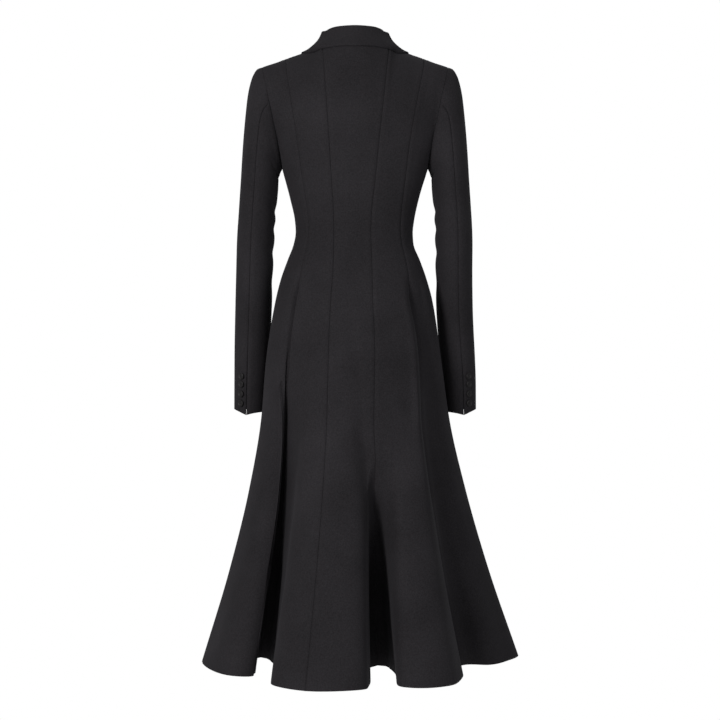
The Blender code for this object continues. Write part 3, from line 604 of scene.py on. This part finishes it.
def share_seam_normals(panel, normal, down):
    """Give a panel's seams the mean of its own normals and its neighbours', so that walls meet square."""
    names = [row[0] for row in PANELS]
    place = names.index(panel)
    for seam, column, step, beside in (("first_seam", 0, -1, 1.0), ("last_seam", -1, 1, 0.0)):
        seam = panel_value(panel, seam)
        if seam == "center_front":
            continue
        neighbour = names[(place + step) % len(names)]
        other = panel_frame(neighbour, np.full_like(down, beside), down)[1]
        rows = slice(UPPER_STEPS if seam.startswith("side") else 0, None)
        normal[rows, column] = unit(normal[rows, column] + other[rows])


def armhole_axis():
    """Direction square to the left armhole, out into the sleeve."""
    tip = top_edge("back_side_left", np.array(0.0))
    low = lower_point("back_side_left", np.array(0.0), UNDERARM_DROP)
    return unit(np.cross(low - tip, np.array([0.0, 1.0, 0.0])))


def keep_beside(normals, away):
    """Turn edge normals so that the wall's under face stays on its own side of a seam."""
    lean = np.minimum(normals @ away, 0)
    normals[:] = unit(normals - lean[:, None] * away)


def armhole(turn):
    """The armhole edge of the left side; turn is degrees from the shoulder over the back."""
    turn = np.mod(turn, 360)
    back = upper_point("back_side_left", np.zeros_like(turn), np.clip(turn / 180, 0, 1))
    front = upper_point("front_side_left", np.ones_like(turn), np.clip(2 - turn / 180, 0, 1))
    return np.where(turn[..., None] <= 180, back, front)


def sleeve_value(column, row):
    """The sleeve table between its rings."""
    i = SLEEVE_COLUMNS.index(column)
    return smooth(np.arange(len(SLEEVE)), SLEEVE[:, i], row)


def sleeve_point(turn, row):
    """Point of the left sleeve's outer face; row counts the rings from the armhole."""
    angle = np.radians(turn)
    middle = sleeve_value("mid_y", row)
    ends = [(sleeve_value(end + "_x", row), middle, -sleeve_value(end + "_drop", row))
            for end in ("outer", "inner")]
    outer, inner = (np.stack(end, -1) for end in ends)
    ring = (outer + inner) / 2 + np.cos(angle)[..., None] * (outer - inner) / 2
    ring[..., 1] += np.sin(angle) * sleeve_value("half_depth", row)
    last = len(SLEEVE) - 1
    tip = np.clip(1 - np.abs(turn - SLEEVE_BACK_SEAM) / SLEEVE_BACK_SEAM, 0, 1) ** 2
    ring[..., 2] -= CUFF_TIP_DROP * tip * np.clip((row - last + CUFF_TIP_ROWS) / CUFF_TIP_ROWS, 0, 1) ** 2
    edge = armhole(turn)
    edge[..., 0] += SEAM_GAP
    return mix(edge, ring, ease(np.clip(row, 0, 1))[..., None])


def sleeve_frame(turn, row):
    """Point, outward normal and the direction round the left sleeve."""
    last = len(SLEEVE) - 1
    point = sleeve_point(turn, row)
    tangent = unit(sleeve_point(turn + SMALL_TURN, row) - sleeve_point(turn - SMALL_TURN, row))
    above = sleeve_point(turn, np.clip(row - SMALL, 0, last))
    below = sleeve_point(turn, np.clip(row + SMALL, 0, last))
    return point, unit(np.cross(tangent, above - below)), tangent


def collar_line(line, turn):
    """A line of the collar table; turn 0 is the middle of the back and the right side is negative."""
    mirror = np.array([-1 if name.endswith("x") else 1 for name in COLLAR_COLUMNS])
    rows = np.concatenate([COLLAR[:0:-1] * mirror, COLLAR])
    places = np.arange(len(rows)) - (len(COLLAR) - 1)
    columns = [COLLAR_COLUMNS.index(line + axis) for axis in ("_x", "_y", "_z")]
    return np.stack([smooth(places, rows[:, column], turn) for column in columns], -1)


def grid_normals(grid, outward):
    """Unit normals of a grid, on the side that outward points to at its middle."""
    normal = unit(np.cross(np.gradient(grid, axis=1), np.gradient(grid, axis=0)))
    middle = normal[len(grid) // 2, grid.shape[1] // 2]
    return normal if np.dot(middle, outward) > 0 else -normal


def collar_fold(turn):
    """The fold line, the direction in towards the neck, and the lower edge of the fall."""
    fold = collar_line("fold", turn)
    edge = collar_line("edge", turn)
    inward = fold - edge
    inward[..., 2] = 0
    return fold, unit(inward), edge


def to_right_sleeve(points, row):
    """The left sleeve's points turned into the right sleeve's."""
    start, peak, end = RIGHT_SLEEVE_RINGS
    closer = ease((row - start) / (peak - start)) * ease((end - row) / (end - peak))
    turned = points * np.array([-1, 1, 1])
    turned[..., 0] += RIGHT_SLEEVE_CLOSER * closer
    return turned


def crease_depth(points, creases):
    """How far creases push each point in; lines are given as seen from straight behind or before."""
    depth = np.zeros(points.shape[:-1])
    drop = -points[..., 2]
    for line, deep, plus_half, minus_half in creases:
        line = np.array(line, float)
        top, low = line[0, 1], line[-1, 1]
        down = np.clip((drop - top) / (low - top), 0, 1)
        off = points[..., 0] - np.interp(drop, line[:, 1], line[:, 0])
        fade = ease((drop - top) / CREASE_FADE)
        if low < HEM_DROP:
            fade = fade * ease((low - drop) / CREASE_FADE)
        half = np.where(off > 0, mix(*plus_half, down), mix(*minus_half, down))
        depth += mix(*deep, down) * fade * np.exp(-(off / half) ** 2)
    return depth


def arc_lengths(grid, axis):
    """Distance along a grid's rows or columns."""
    step = np.linalg.norm(np.diff(grid, axis=axis), axis=-1)
    total = np.cumsum(step, axis=axis)
    start = np.zeros_like(np.take(total, [0], axis=axis))
    return np.concatenate([start, total], axis=axis)


def edge_roll(distance):
    """How the cloth turns down into a seam, and swells just beside it."""
    roll = -SEAM_ROLL * np.exp(-distance / SEAM_ROLL_REACH)
    puff = SEAM_PUFF * np.exp(-((distance - SEAM_PUFF_AT) / SEAM_PUFF_REACH) ** 2)
    return roll + puff


def armhole_middle():
    """Middle of the left armhole."""
    return armhole(np.arange(0, 360, ARMHOLE_TURN_STEP)).mean(0)


def armhole_roll(points, distance, side):
    """How cloth turns in at an armhole: towards its middle, so that body and sleeve stay together."""
    mirror = np.array([side, 1, 1])
    inward = armhole_middle() * mirror - points
    axis = armhole_axis() * mirror
    inward = unit(inward - (inward @ axis)[..., None] * axis)
    level = 1 - ARMHOLE_TOP_EASE * np.clip(-inward[..., 2], 0, 1) ** 2
    return inward * (level * ARMHOLE_ROLL * np.exp(-distance / ARMHOLE_ROLL_REACH))[..., None]


def smooth_shoulder(point, down):
    """Round the cloth over the corner between neck and shoulder, leaving the panel's edges as they are."""
    keep = len(EDGE_COLUMNS)
    start, full, fade, end = NECK_SMOOTH_DOWN
    weight = ease((down - start) / (full - start)) * ease((end - down) / (end - fade))
    weight = weight[:, keep:-keep, None] * NECK_SMOOTH_RATE
    for _ in range(NECK_SMOOTH_PASSES):
        mean = (point[:, keep - 1:-keep - 1] + point[:, keep + 1:point.shape[1] - keep + 1]) / 2
        point[:, keep:-keep] = mix(point[:, keep:-keep], mean, weight)


def sunk_seam(seam, distance, drop):
    """How far the cloth beside a seam sinks into a fold."""
    if seam not in SUNK_SEAMS:
        return 0
    start, end, deep, half = SUNK_SEAMS[seam]
    fade = ease((drop - start) / CREASE_FADE) * ease((end - drop) / CREASE_FADE)
    return deep * fade * np.exp(-(distance / half) ** 2)


def edge_shares(count):
    """Shares across a piece: close together beside both edges, and count of them between."""
    edges = np.array(EDGE_COLUMNS[:-1])
    inside = np.linspace(EDGE_COLUMNS[-1], 1 - EDGE_COLUMNS[-1], count)
    return np.concatenate([edges, inside, 1 - edges[::-1]])


def draw_in(grid, tangent, first, last):
    """Draw a piece's two edges in by these widths."""
    grid[:, 0] += tangent[:, 0] * first
    grid[:, -1] -= tangent[:, -1] * last


def fine_panel(panel):
    """Outer and inner faces of a body panel with its creases and rolled seams."""
    first, last, _ = panel_places(panel)
    rows = np.concatenate([np.linspace(0, 1, UPPER_STEPS, endpoint=False),
                           np.linspace(1, 2, LOWER_STEPS)])
    across, down = np.meshgrid(edge_shares(COLUMNS_BETWEEN * (last - first)), rows)
    point, normal, tangent = panel_frame(panel, across, down)
    if not panel.startswith("front_center"):
        share_seam_normals(panel, normal, down[:, 0])
    if panel in NECK_PANELS:
        smooth_shoulder(point, down)
    end = panel_value(panel, "armhole_end")
    if end:
        column = 0 if end == "first" else -1
        sleeve_ward = armhole_axis() * np.array([np.sign(point[0, column, 0]), 1, 1])
        keep_beside(normal[:UPPER_STEPS, column], sleeve_ward)
    along = arc_lengths(point, 1)
    distances = {"first": along, "last": along[:, -1:] - along}
    turned = ease((1 - down) / UNDERARM_BLEND)
    move = np.zeros(along.shape)
    fade = 1.0
    for edge, distance in distances.items():
        seam = panel_value(panel, edge + "_seam")
        if seam != "center_front":
            move += edge_roll(distance) * (1 - turned if edge == end else 1)
        move -= sunk_seam(seam, distance, -point[..., 2])
        # Creases die out towards the side seam, which the back and the front share
        if seam.startswith("side"):
            fade = ease(distance / SIDE_SEAM_FADE)
    back = panel.startswith("back")
    move -= crease_depth(point, CREASES if back else FRONT_CREASES) * fade
    pressed = crease_depth(point, HOLLOWS if back else ()) * fade
    if end:
        turn_in = armhole_roll(point, distances[end], np.sign(point[0, 0, 0]))
        point = point + turn_in * turned[..., None]
    point = point + normal * move[..., None]
    point[..., 1] -= pressed
    draw_in(point, tangent, SEAM_GAP / 2, SEAM_GAP / 2)
    inner = point - normal * WALL
    draw_in(inner, tangent, -SEWN_LAP, -SEWN_LAP)
    return point, inner


def fine_sleeve(start, end, vent_edge):
    """Outer and inner faces of one left sleeve piece; vent_edge is the end at the back seam."""
    last = len(SLEEVE) - 1
    rows = np.linspace(0, last, SLEEVE_STEPS)
    turn, row = np.meshgrid(mix(start, end, edge_shares(SLEEVE_GRID_COLUMNS)), rows)
    point, normal, tangent = sleeve_frame(turn, row)
    keep_beside(normal[0], -armhole_axis())
    across = arc_lengths(point, 1)
    down = arc_lengths(point, 0)
    away = ease(down / ARMHOLE_ROLL_REACH / ARMHOLE_ROLL_FADE)
    move = (edge_roll(across) + edge_roll(across[:, -1:] - across)) * away
    for ring, place, deep, along, round_half, slant in SLEEVE_FOLDS:
        off = np.mod(turn - place + 180, 360) - 180
        move -= deep * np.exp(-((row - ring - slant * off) / along) ** 2 - (off / round_half) ** 2)
    point = point + normal * move[..., None] + armhole_roll(point, down, 1)
    open_share = np.clip((rows[:, None] - last + VENT_ROWS) / VENT_ROWS, 0, 1)
    gap = SEAM_GAP / 2
    vent = mix(gap, VENT_HALF_OPENING, open_share)
    draw_in(point, tangent, *((vent, gap) if vent_edge == "first" else (gap, vent)))
    return point, point - normal * WALL, rows[:, None]


def height_over(points, tree):
    """Height of each point over the cloth beneath, and the way up from that cloth."""
    heights = np.zeros(points.shape[:2])
    ways = np.zeros_like(points)
    for at in np.ndindex(heights.shape):
        point = Vector(points[at])
        spot, normal, _, _ = tree.find_nearest(point)
        heights[at] = (point - spot).dot(normal)
        ways[at] = normal
    return heights, ways


def rest_on(outer, inner, tree, clearance):
    """Lift a wall until its under face clears the cloth beneath, evenly enough to stay smooth."""
    heights, ways = height_over(inner, tree)
    need = np.maximum(0.0, clearance - heights)
    lift = need.copy()
    for _ in range(LIFT_PASSES):
        padded = np.pad(lift, 1, mode="edge")
        mean = (padded[:-2, 1:-1] + padded[2:, 1:-1] + padded[1:-1, :-2] + padded[1:-1, 2:]) / 4
        lift = np.maximum(need, mean)
    outer += ways * lift[..., None]
    inner += ways * lift[..., None]


def settle(outer, inner, tree):
    """Let the free edge of a turned-down piece drop on to the cloth beneath."""
    heights, ways = height_over(inner, tree)
    share = (np.arange(1, len(inner) + 1) / len(inner)) ** SETTLE_POWER
    drop = ways * (-np.maximum(0.0, heights - COLLAR_CLEARANCE) * share[:, None])[..., None]
    outer += drop
    inner += drop


def fine_fall(tree):
    """Outer and inner faces of the collar's fall, from its fold down on to the cloth beneath."""
    turn = np.linspace(1 - len(COLLAR), len(COLLAR) - 1, COLLAR_TURNS)
    fold, inward, edge = collar_fold(turn)
    up = np.array([0, 0, 1.0])
    rows = [fold + inward * into + up * rise for into, rise in FOLD_LIP]
    start = rows[-1]
    bow = mix(start, edge, FALL_BOW_ACROSS)
    bow[:, 2] = mix(start[:, 2], edge[:, 2], FALL_BOW_DOWN)
    for f in np.linspace(0, 1, FALL_ROWS + 1)[1:]:
        rows.append((1 - f) ** 2 * start + 2 * f * (1 - f) * bow + f * f * edge)
    outer = np.stack(rows)
    inner = outer - grid_normals(outer, (0, 1, 0.5)) * WALL
    lip = len(FOLD_LIP)
    rest_on(outer[lip:], inner[lip:], tree, COLLAR_CLEARANCE)
    settle(outer[lip:], inner[lip:], tree)
    return outer, inner


def fine_stand():
    """Inner and outer faces of the collar's stand, from the fold down to the neck seam."""
    turn = np.linspace(-STAND_END_TURN, STAND_END_TURN, STAND_TURNS)
    fold, inward, _ = collar_fold(turn)
    into, rise = FOLD_LIP[0]
    top = fold + inward * into + np.array([0, 0, rise - LAY_GAP])
    upright = top - np.array([0, 0, STAND_UPRIGHT])
    seam = collar_line("seam", turn) + inward * WALL
    rows = [top, (top + upright) / 2]
    rows += [mix(upright, seam, share) for share in np.linspace(0, 1, STAND_ROWS)]
    inner = np.stack(rows)
    return inner, inner - grid_normals(inner, (0, -1, 0)) * WALL


def fine_lapel(side, tree):
    """Outer and inner faces of a lapel, laid on its front panel."""
    end = LAPEL_END_RIGHT if side == "right" else LAPEL_END_LEFT
    out, along = np.meshgrid(np.linspace(0, 1, LAPEL_COLUMNS), np.linspace(0, 1, LAPEL_ROWS))
    down = mix(mix(LAPEL_TOP_FOLD, LAPEL_TOP_POINT, out), end, along)
    width = mix(LAPEL_WIDTH, LAPEL_END_WIDTH, along ** LAPEL_TAPER)
    across = 1 - out * width if side == "right" else out * width
    point, normal, _ = panel_frame("front_center_" + side, across, down)
    outer = point + normal * (LAY_GAP + WALL)
    inner = point + normal * LAY_GAP
    rest_on(outer, inner, tree, LAY_GAP)
    return outer, inner


def finish_piece(piece, node):
    """Let a piece stand for its node and ride on the body."""
    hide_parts(node)
    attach(piece, "root")


def add_object(name, data):
    """An object of the scene."""
    made = bpy.data.objects.new(name, data)
    bpy.context.scene.collection.objects.link(made)
    return made


def add_mesh(name, vertices, faces, finishes, uvs=None, face_slots=None):
    """A smooth mesh from millimetre points, with its finishes."""
    mesh = bpy.data.meshes.new(name)
    mesh.from_pydata([tuple(float(c) * MM for c in v) for v in vertices], [], faces)
    if uvs is not None:
        layer = mesh.uv_layers.new(name="cloth")
        corners = np.empty(len(mesh.loops), dtype=np.int32)
        mesh.loops.foreach_get("vertex_index", corners)
        layer.data.foreach_set("uv", np.asarray(uvs, np.float32)[corners].ravel())
    if face_slots is not None:
        mesh.polygons.foreach_set("material_index", np.asarray(face_slots, np.int32))
    shape = bmesh.new()
    shape.from_mesh(mesh)
    bmesh.ops.recalc_face_normals(shape, faces=shape.faces)
    shape.to_mesh(mesh)
    shape.free()
    mesh.shade_smooth()
    mesh.set_sharp_from_angle(angle=math.radians(SHARP_ANGLE))
    for finish in finishes:
        mesh.materials.append(finish)
    return add_object(name, mesh)


def grid_quads(rows, columns):
    """Corners of the faces of a grid."""
    index = np.arange(rows * columns).reshape(rows, columns)
    corners = [index[:-1, :-1], index[:-1, 1:], index[1:, 1:], index[1:, :-1]]
    return np.stack(corners, -1).reshape(-1, 4)


def add_cloth(node, outer, inner, held, finish):
    """A wall of cloth between two grids, closed round its edges."""
    rows, columns = outer.shape[:2]
    index = np.arange(rows * columns).reshape(rows, columns)
    under = index + rows * columns
    top = grid_quads(rows, columns)
    faces = [tuple(int(i) for i in face) for face in np.concatenate([top, top[:, ::-1] + rows * columns])]
    rim = [(0, k) for k in range(columns)] + [(k, columns - 1) for k in range(1, rows)]
    rim += [(rows - 1, k) for k in range(columns - 2, -1, -1)] + [(k, 0) for k in range(rows - 2, 0, -1)]
    for one, two in zip(rim, rim[1:] + rim[:1]):
        faces.append((int(index[one]), int(under[one]), int(under[two]), int(index[two])))
    along = arc_lengths(outer, 1)
    along = along - along[:, -1:] / 2
    down = np.repeat(arc_lengths(outer, 0)[:, columns // 2][:, None], columns, 1)
    uv = np.stack([along, down], -1).reshape(-1, 2) * MM
    piece = add_mesh("cloth_" + node, np.concatenate([outer.reshape(-1, 3), inner.reshape(-1, 3)]), faces,
                     [finish], np.concatenate([uv, uv]))
    finish_piece(piece, node)


def square_to(axis):
    """Two directions square to an axis and to each other, the first of them level."""
    across = axis.cross(Vector((0, 0, 1))).normalized()
    return across, axis.cross(across)


def spokes(across, along, sides):
    """Directions all round, from one direction by way of another."""
    turns = [2 * math.pi * k / sides for k in range(sides)]
    return [across * math.cos(turn) + along * math.sin(turn) for turn in turns]


def ring_faces(rings, sides):
    """Faces between rings of points, with both ends closed."""
    last = (rings - 1) * sides
    faces = [tuple(range(sides)), tuple(range(last, last + sides))]
    for start in range(0, last, sides):
        for k in range(sides):
            a = start + k
            b = start + (k + 1) % sides
            faces.append((a, b, b + sides, a + sides))
    return faces


def lathe(seat, axis, radius, height, profile, sides):
    """Rings of points turned about an axis, with the faces between them and both ends closed."""
    across, along = square_to(axis)
    vertices = []
    for wide, tall in profile:
        for spoke in spokes(across, along, sides):
            vertices.append(seat + spoke * (radius * wide) + axis * (height * tall))
    return vertices, ring_faces(len(profile), sides)


def tube(points, radius, sides):
    """A round thread along a few points, closed at both ends."""
    vertices = []
    for i, point in enumerate(points):
        ahead = points[min(i + 1, len(points) - 1)] - points[max(i - 1, 0)]
        side = ahead.orthogonal().normalized()
        other = ahead.normalized().cross(side)
        vertices += [point + spoke * radius for spoke in spokes(side, other, sides)]
    return vertices, ring_faces(len(points), sides)


def add_button(node, centre, tree, size, finishes):
    """A dished four-hole button with its sewing thread, seated on the cloth nearest to a point."""
    radius, height = size
    spot, axis, _, _ = tree.find_nearest(Vector(centre))
    seat = spot + axis * LAY_GAP
    across, along = square_to(axis)
    groups = [(lathe(seat, axis, radius, height, BUTTON_RINGS, BUTTON_SIDES), 0)]
    floor = seat + axis * (height * BUTTON_RINGS[-1][1])
    hole = radius * HOLE_PLACE
    corners = []
    for one, two in ((1, 1), (-1, 1), (-1, -1), (1, -1)):
        place = floor + across * (hole * one) + along * (hole * two)
        corners.append(place)
        bottom = place - axis * HOLE_SINK
        groups.append((lathe(bottom, axis, radius * HOLE_RADIUS, HOLE_HEIGHT, HOLE_RINGS, HOLE_SIDES), 1))
    lift = axis * THREAD_LIFT
    for a, b in ((0, 1), (3, 2)):
        bends = [mix(corners[a], corners[b], share) + lift for share in (THREAD_BEND, 1 - THREAD_BEND)]
        groups.append((tube([corners[a], *bends, corners[b]], radius * THREAD_RADIUS, THREAD_SIDES), 1))
    vertices = []
    faces = []
    slots = []
    for (points, rings), slot in groups:
        start = len(vertices)
        vertices += points
        faces += [tuple(i + start for i in face) for face in rings]
        slots += [slot] * len(rings)
    piece = add_mesh("detail_" + node, vertices, faces, finishes, face_slots=slots)
    finish_piece(piece, node)


def tree_of(grids):
    """A search tree over outer faces, given as grids whose rows run down and columns run round."""
    vertices = []
    faces = []
    for grid in grids:
        outward = grid_quads(*grid.shape[:2])[:, [0, 3, 2, 1]] + len(vertices)
        vertices.extend(Vector(point) for point in grid.reshape(-1, 3))
        faces.extend(tuple(int(i) for i in face) for face in outward)
    return BVHTree.FromPolygons(vertices, faces)


def set_inputs(node, values):
    """Give a node's sockets their values."""
    for socket, value in values.items():
        node.inputs[socket].default_value = value


def new_material(name, surface):
    """A material whose shader has these values, and its tree of nodes."""
    made = bpy.data.materials.new(name)
    made.use_nodes = True
    set_inputs(made.node_tree.nodes[SHADER], surface)
    return made, made.node_tree


def add_texture(tree, kind, coordinates, values, direction=None):
    """The value of a procedural texture."""
    place = tree.nodes.new("ShaderNodeTexCoord")
    texture = tree.nodes.new("ShaderNodeTex" + kind)
    set_inputs(texture, values)
    if direction:
        texture.bands_direction = direction
    tree.links.new(place.outputs[coordinates], texture.inputs["Vector"])
    return texture.outputs["Fac"]


def add_math(tree, operation, *terms):
    """The result of a sum on numbers and on other nodes' outputs."""
    node = tree.nodes.new("ShaderNodeMath")
    node.operation = operation
    for socket, term in zip(node.inputs, terms):
        if isinstance(term, float):
            socket.default_value = term
        else:
            tree.links.new(term, socket)
    return node.outputs["Value"]


def add_colour(tree, value, stops):
    """Colour the shader between two stops as a value rises."""
    ramp = tree.nodes.new("ShaderNodeValToRGB")
    for element, (position, colour) in zip(ramp.color_ramp.elements, stops):
        element.position = position
        element.color = colour
    tree.links.new(value, ramp.inputs["Fac"])
    tree.links.new(ramp.outputs["Color"], tree.nodes[SHADER].inputs["Base Color"])


def add_bump(tree, height, values):
    """Raise the shader's surface by a height."""
    bump = tree.nodes.new("ShaderNodeBump")
    set_inputs(bump, values)
    tree.links.new(height, bump.inputs["Height"])
    tree.links.new(bump.outputs["Normal"], tree.nodes[SHADER].inputs["Normal"])


def wool_material():
    """Fine plain-woven black wool: woven bumps, fibre fuzz and a faint unevenness of dye."""
    made, tree = new_material("black_wool_cloth", WOOL_SURFACE)
    weave = add_math(tree, "MULTIPLY", *(add_texture(tree, "Wave", "UV", WEAVE, way) for way in ("X", "Y")))
    fuzz = add_texture(tree, "Noise", "Object", FUZZ)
    dye = add_math(tree, "MULTIPLY", add_texture(tree, "Noise", "Object", DYE), DYE_SHARE)
    add_colour(tree, add_math(tree, "MULTIPLY_ADD", fuzz, FUZZ_SHARE, dye), WOOL_COLOURS)
    add_bump(tree, add_math(tree, "ADD", weave, fuzz), WOOL_BUMP)
    return made


def horn_material():
    """Dark polished button: cloudy streaks under a satin surface."""
    made, tree = new_material("black_horn_button", HORN_SURFACE)
    cloud = add_texture(tree, "Noise", "Object", CLOUD)
    add_colour(tree, cloud, HORN_COLOURS)
    rough = tree.nodes.new("ShaderNodeMapRange")
    set_inputs(rough, HORN_ROUGHNESS)
    tree.links.new(cloud, rough.inputs["Value"])
    tree.links.new(rough.outputs["Result"], tree.nodes[SHADER].inputs["Roughness"])
    return made


def thread_material():
    """Twisted black sewing thread."""
    made, tree = new_material("black_thread", THREAD_SURFACE)
    twist = add_texture(tree, "Wave", "Object", TWIST, "DIAGONAL")
    add_colour(tree, twist, THREAD_COLOURS)
    add_bump(tree, twist, THREAD_BUMP)
    return made


def make_body(wool):
    """The nine body panels; returns their outer faces by name."""
    outers = {}
    for row in PANELS:
        node = row[0]
        outer, inner = fine_panel(node)
        add_cloth(node, outer, inner, "hung", wool)
        outers[node] = outer
    return outers


def make_sleeves(wool):
    """Both sleeves; returns the outer face of each top piece."""
    pieces = (("sleeve_top", SLEEVE_FRONT_SEAM, SLEEVE_BACK_SEAM, "last"),
              ("sleeve_under", SLEEVE_BACK_SEAM, SLEEVE_FRONT_SEAM + 360, "first"))
    for name, start, end, vent_edge in pieces:
        outer, inner, row = fine_sleeve(start, end, vent_edge)
        add_cloth(name + "_left", outer, inner, "hung", wool)
        right = to_right_sleeve(outer, row)
        add_cloth(name + "_right", right, to_right_sleeve(inner, row), "hung", wool)
        if name == "sleeve_top":
            tops = {"left": outer, "right": right[:, ::-1]}
    return tops


def make_collar(wool, body):
    """Lapels lie on the body, and the fall of the collar lies on both."""
    faces = list(body.values())
    tree = tree_of(faces)
    lapels = []
    for side in ("left", "right"):
        outer, inner = fine_lapel(side, tree)
        add_cloth("lapel_" + side, outer, inner, "folded", wool)
        lapels.append(outer[:, ::-1] if side == "right" else outer)
    add_cloth("collar_stand", *fine_stand(), "folded", wool)
    add_cloth("collar_fall", *fine_fall(tree_of(faces + lapels)), "folded", wool)


def make_buttons(finishes, body, tops):
    """Cuff buttons on the top sleeves, and front buttons on the right front."""
    rows = np.interp(CUFF_BUTTON_DROPS, SLEEVE[:, 1], np.arange(len(SLEEVE)))
    points = sleeve_point(np.full(len(rows), CUFF_BUTTON_TURN), rows)
    places = {"left": points, "right": to_right_sleeve(points, rows)}
    for side in ("left", "right"):
        tree = tree_of([tops[side]])
        for number, point in enumerate(places[side], 1):
            add_button(f"cuff_button_{side}_{number}", point, tree, CUFF_BUTTON, finishes)
    tree = tree_of([body["front_center_right"]])
    for number, drop in enumerate(FRONT_BUTTON_DROPS, 1):
        middle = (0, -section("front", drop), -drop)
        add_button(f"front_button_{number}", middle, tree, FRONT_BUTTON, finishes)


def area_light(name, place, aim, size, power, colour):
    """A round soft lamp."""
    light = bpy.data.lights.new(name, "AREA")
    light.shape = "DISK"
    light.size = size
    light.energy = power
    light.color = colour
    lamp = add_object(name, light)
    lamp.location = place
    lamp.rotation_euler = (Vector(aim) - Vector(place)).to_track_quat("-Z", "Y").to_euler()


def seen_white(tree, lit, white, output):
    """Show plain white to the camera while the light that a surface gives stays as it is."""
    path = tree.nodes.new("ShaderNodeLightPath")
    plain = tree.nodes.new(white)
    plain.inputs["Color"].default_value = WHITE
    choose = tree.nodes.new("ShaderNodeMixShader")
    for socket, source in zip(choose.inputs, (path.outputs["Is Camera Ray"], lit, plain.outputs[0])):
        tree.links.new(source, socket)
    tree.links.new(choose.outputs["Shader"], tree.nodes[output].inputs["Surface"])


def make_stage():
    """Pale floor, soft light and the camera at the photograph's angle."""
    half = FLOOR_SIZE / 2
    corners = [(-half, -half, 0), (half, -half, 0), (half, half, 0), (-half, half, 0)]
    mesh = bpy.data.meshes.new("floor")
    mesh.from_pydata(corners, [], [(0, 1, 2, 3)])
    made, tree = new_material("pale_floor", FLOOR_SURFACE)
    seen_white(tree, tree.nodes[SHADER].outputs["BSDF"], "ShaderNodeEmission", "Material Output")
    mesh.materials.append(made)
    floor = add_object("floor", mesh)
    floor.location = (0, 0, -FLOOR_DROP)
    world = bpy.data.worlds.new("studio")
    world.use_nodes = True
    sky = world.node_tree.nodes["Background"]
    set_inputs(sky, {"Color": WHITE, "Strength": WORLD_LIGHT})
    seen_white(world.node_tree, sky.outputs["Background"], "ShaderNodeBackground", "World Output")
    scene = bpy.context.scene
    scene.world = world
    scene.view_settings.view_transform = "Standard"
    for lamp in LAMPS:
        area_light(*lamp)
    camera = add_object("camera", bpy.data.cameras.new("camera"))
    camera.data.lens = CAMERA_LENS
    camera.data.sensor_width = SENSOR
    camera.data.clip_end = VIEW_DEPTH
    camera.location = (CAMERA_X, CAMERA_BACK, CAMERA_Z)
    camera.rotation_euler = (math.pi / 2, 0, math.pi)
    scene.camera = camera


def main():
    """Build the stage, then the coat from its body outward."""
    make_stage()
    wool = wool_material()
    body = make_body(wool)
    tops = make_sleeves(wool)
    make_collar(wool, body)
    make_buttons([horn_material(), thread_material()], body, tops)


main()
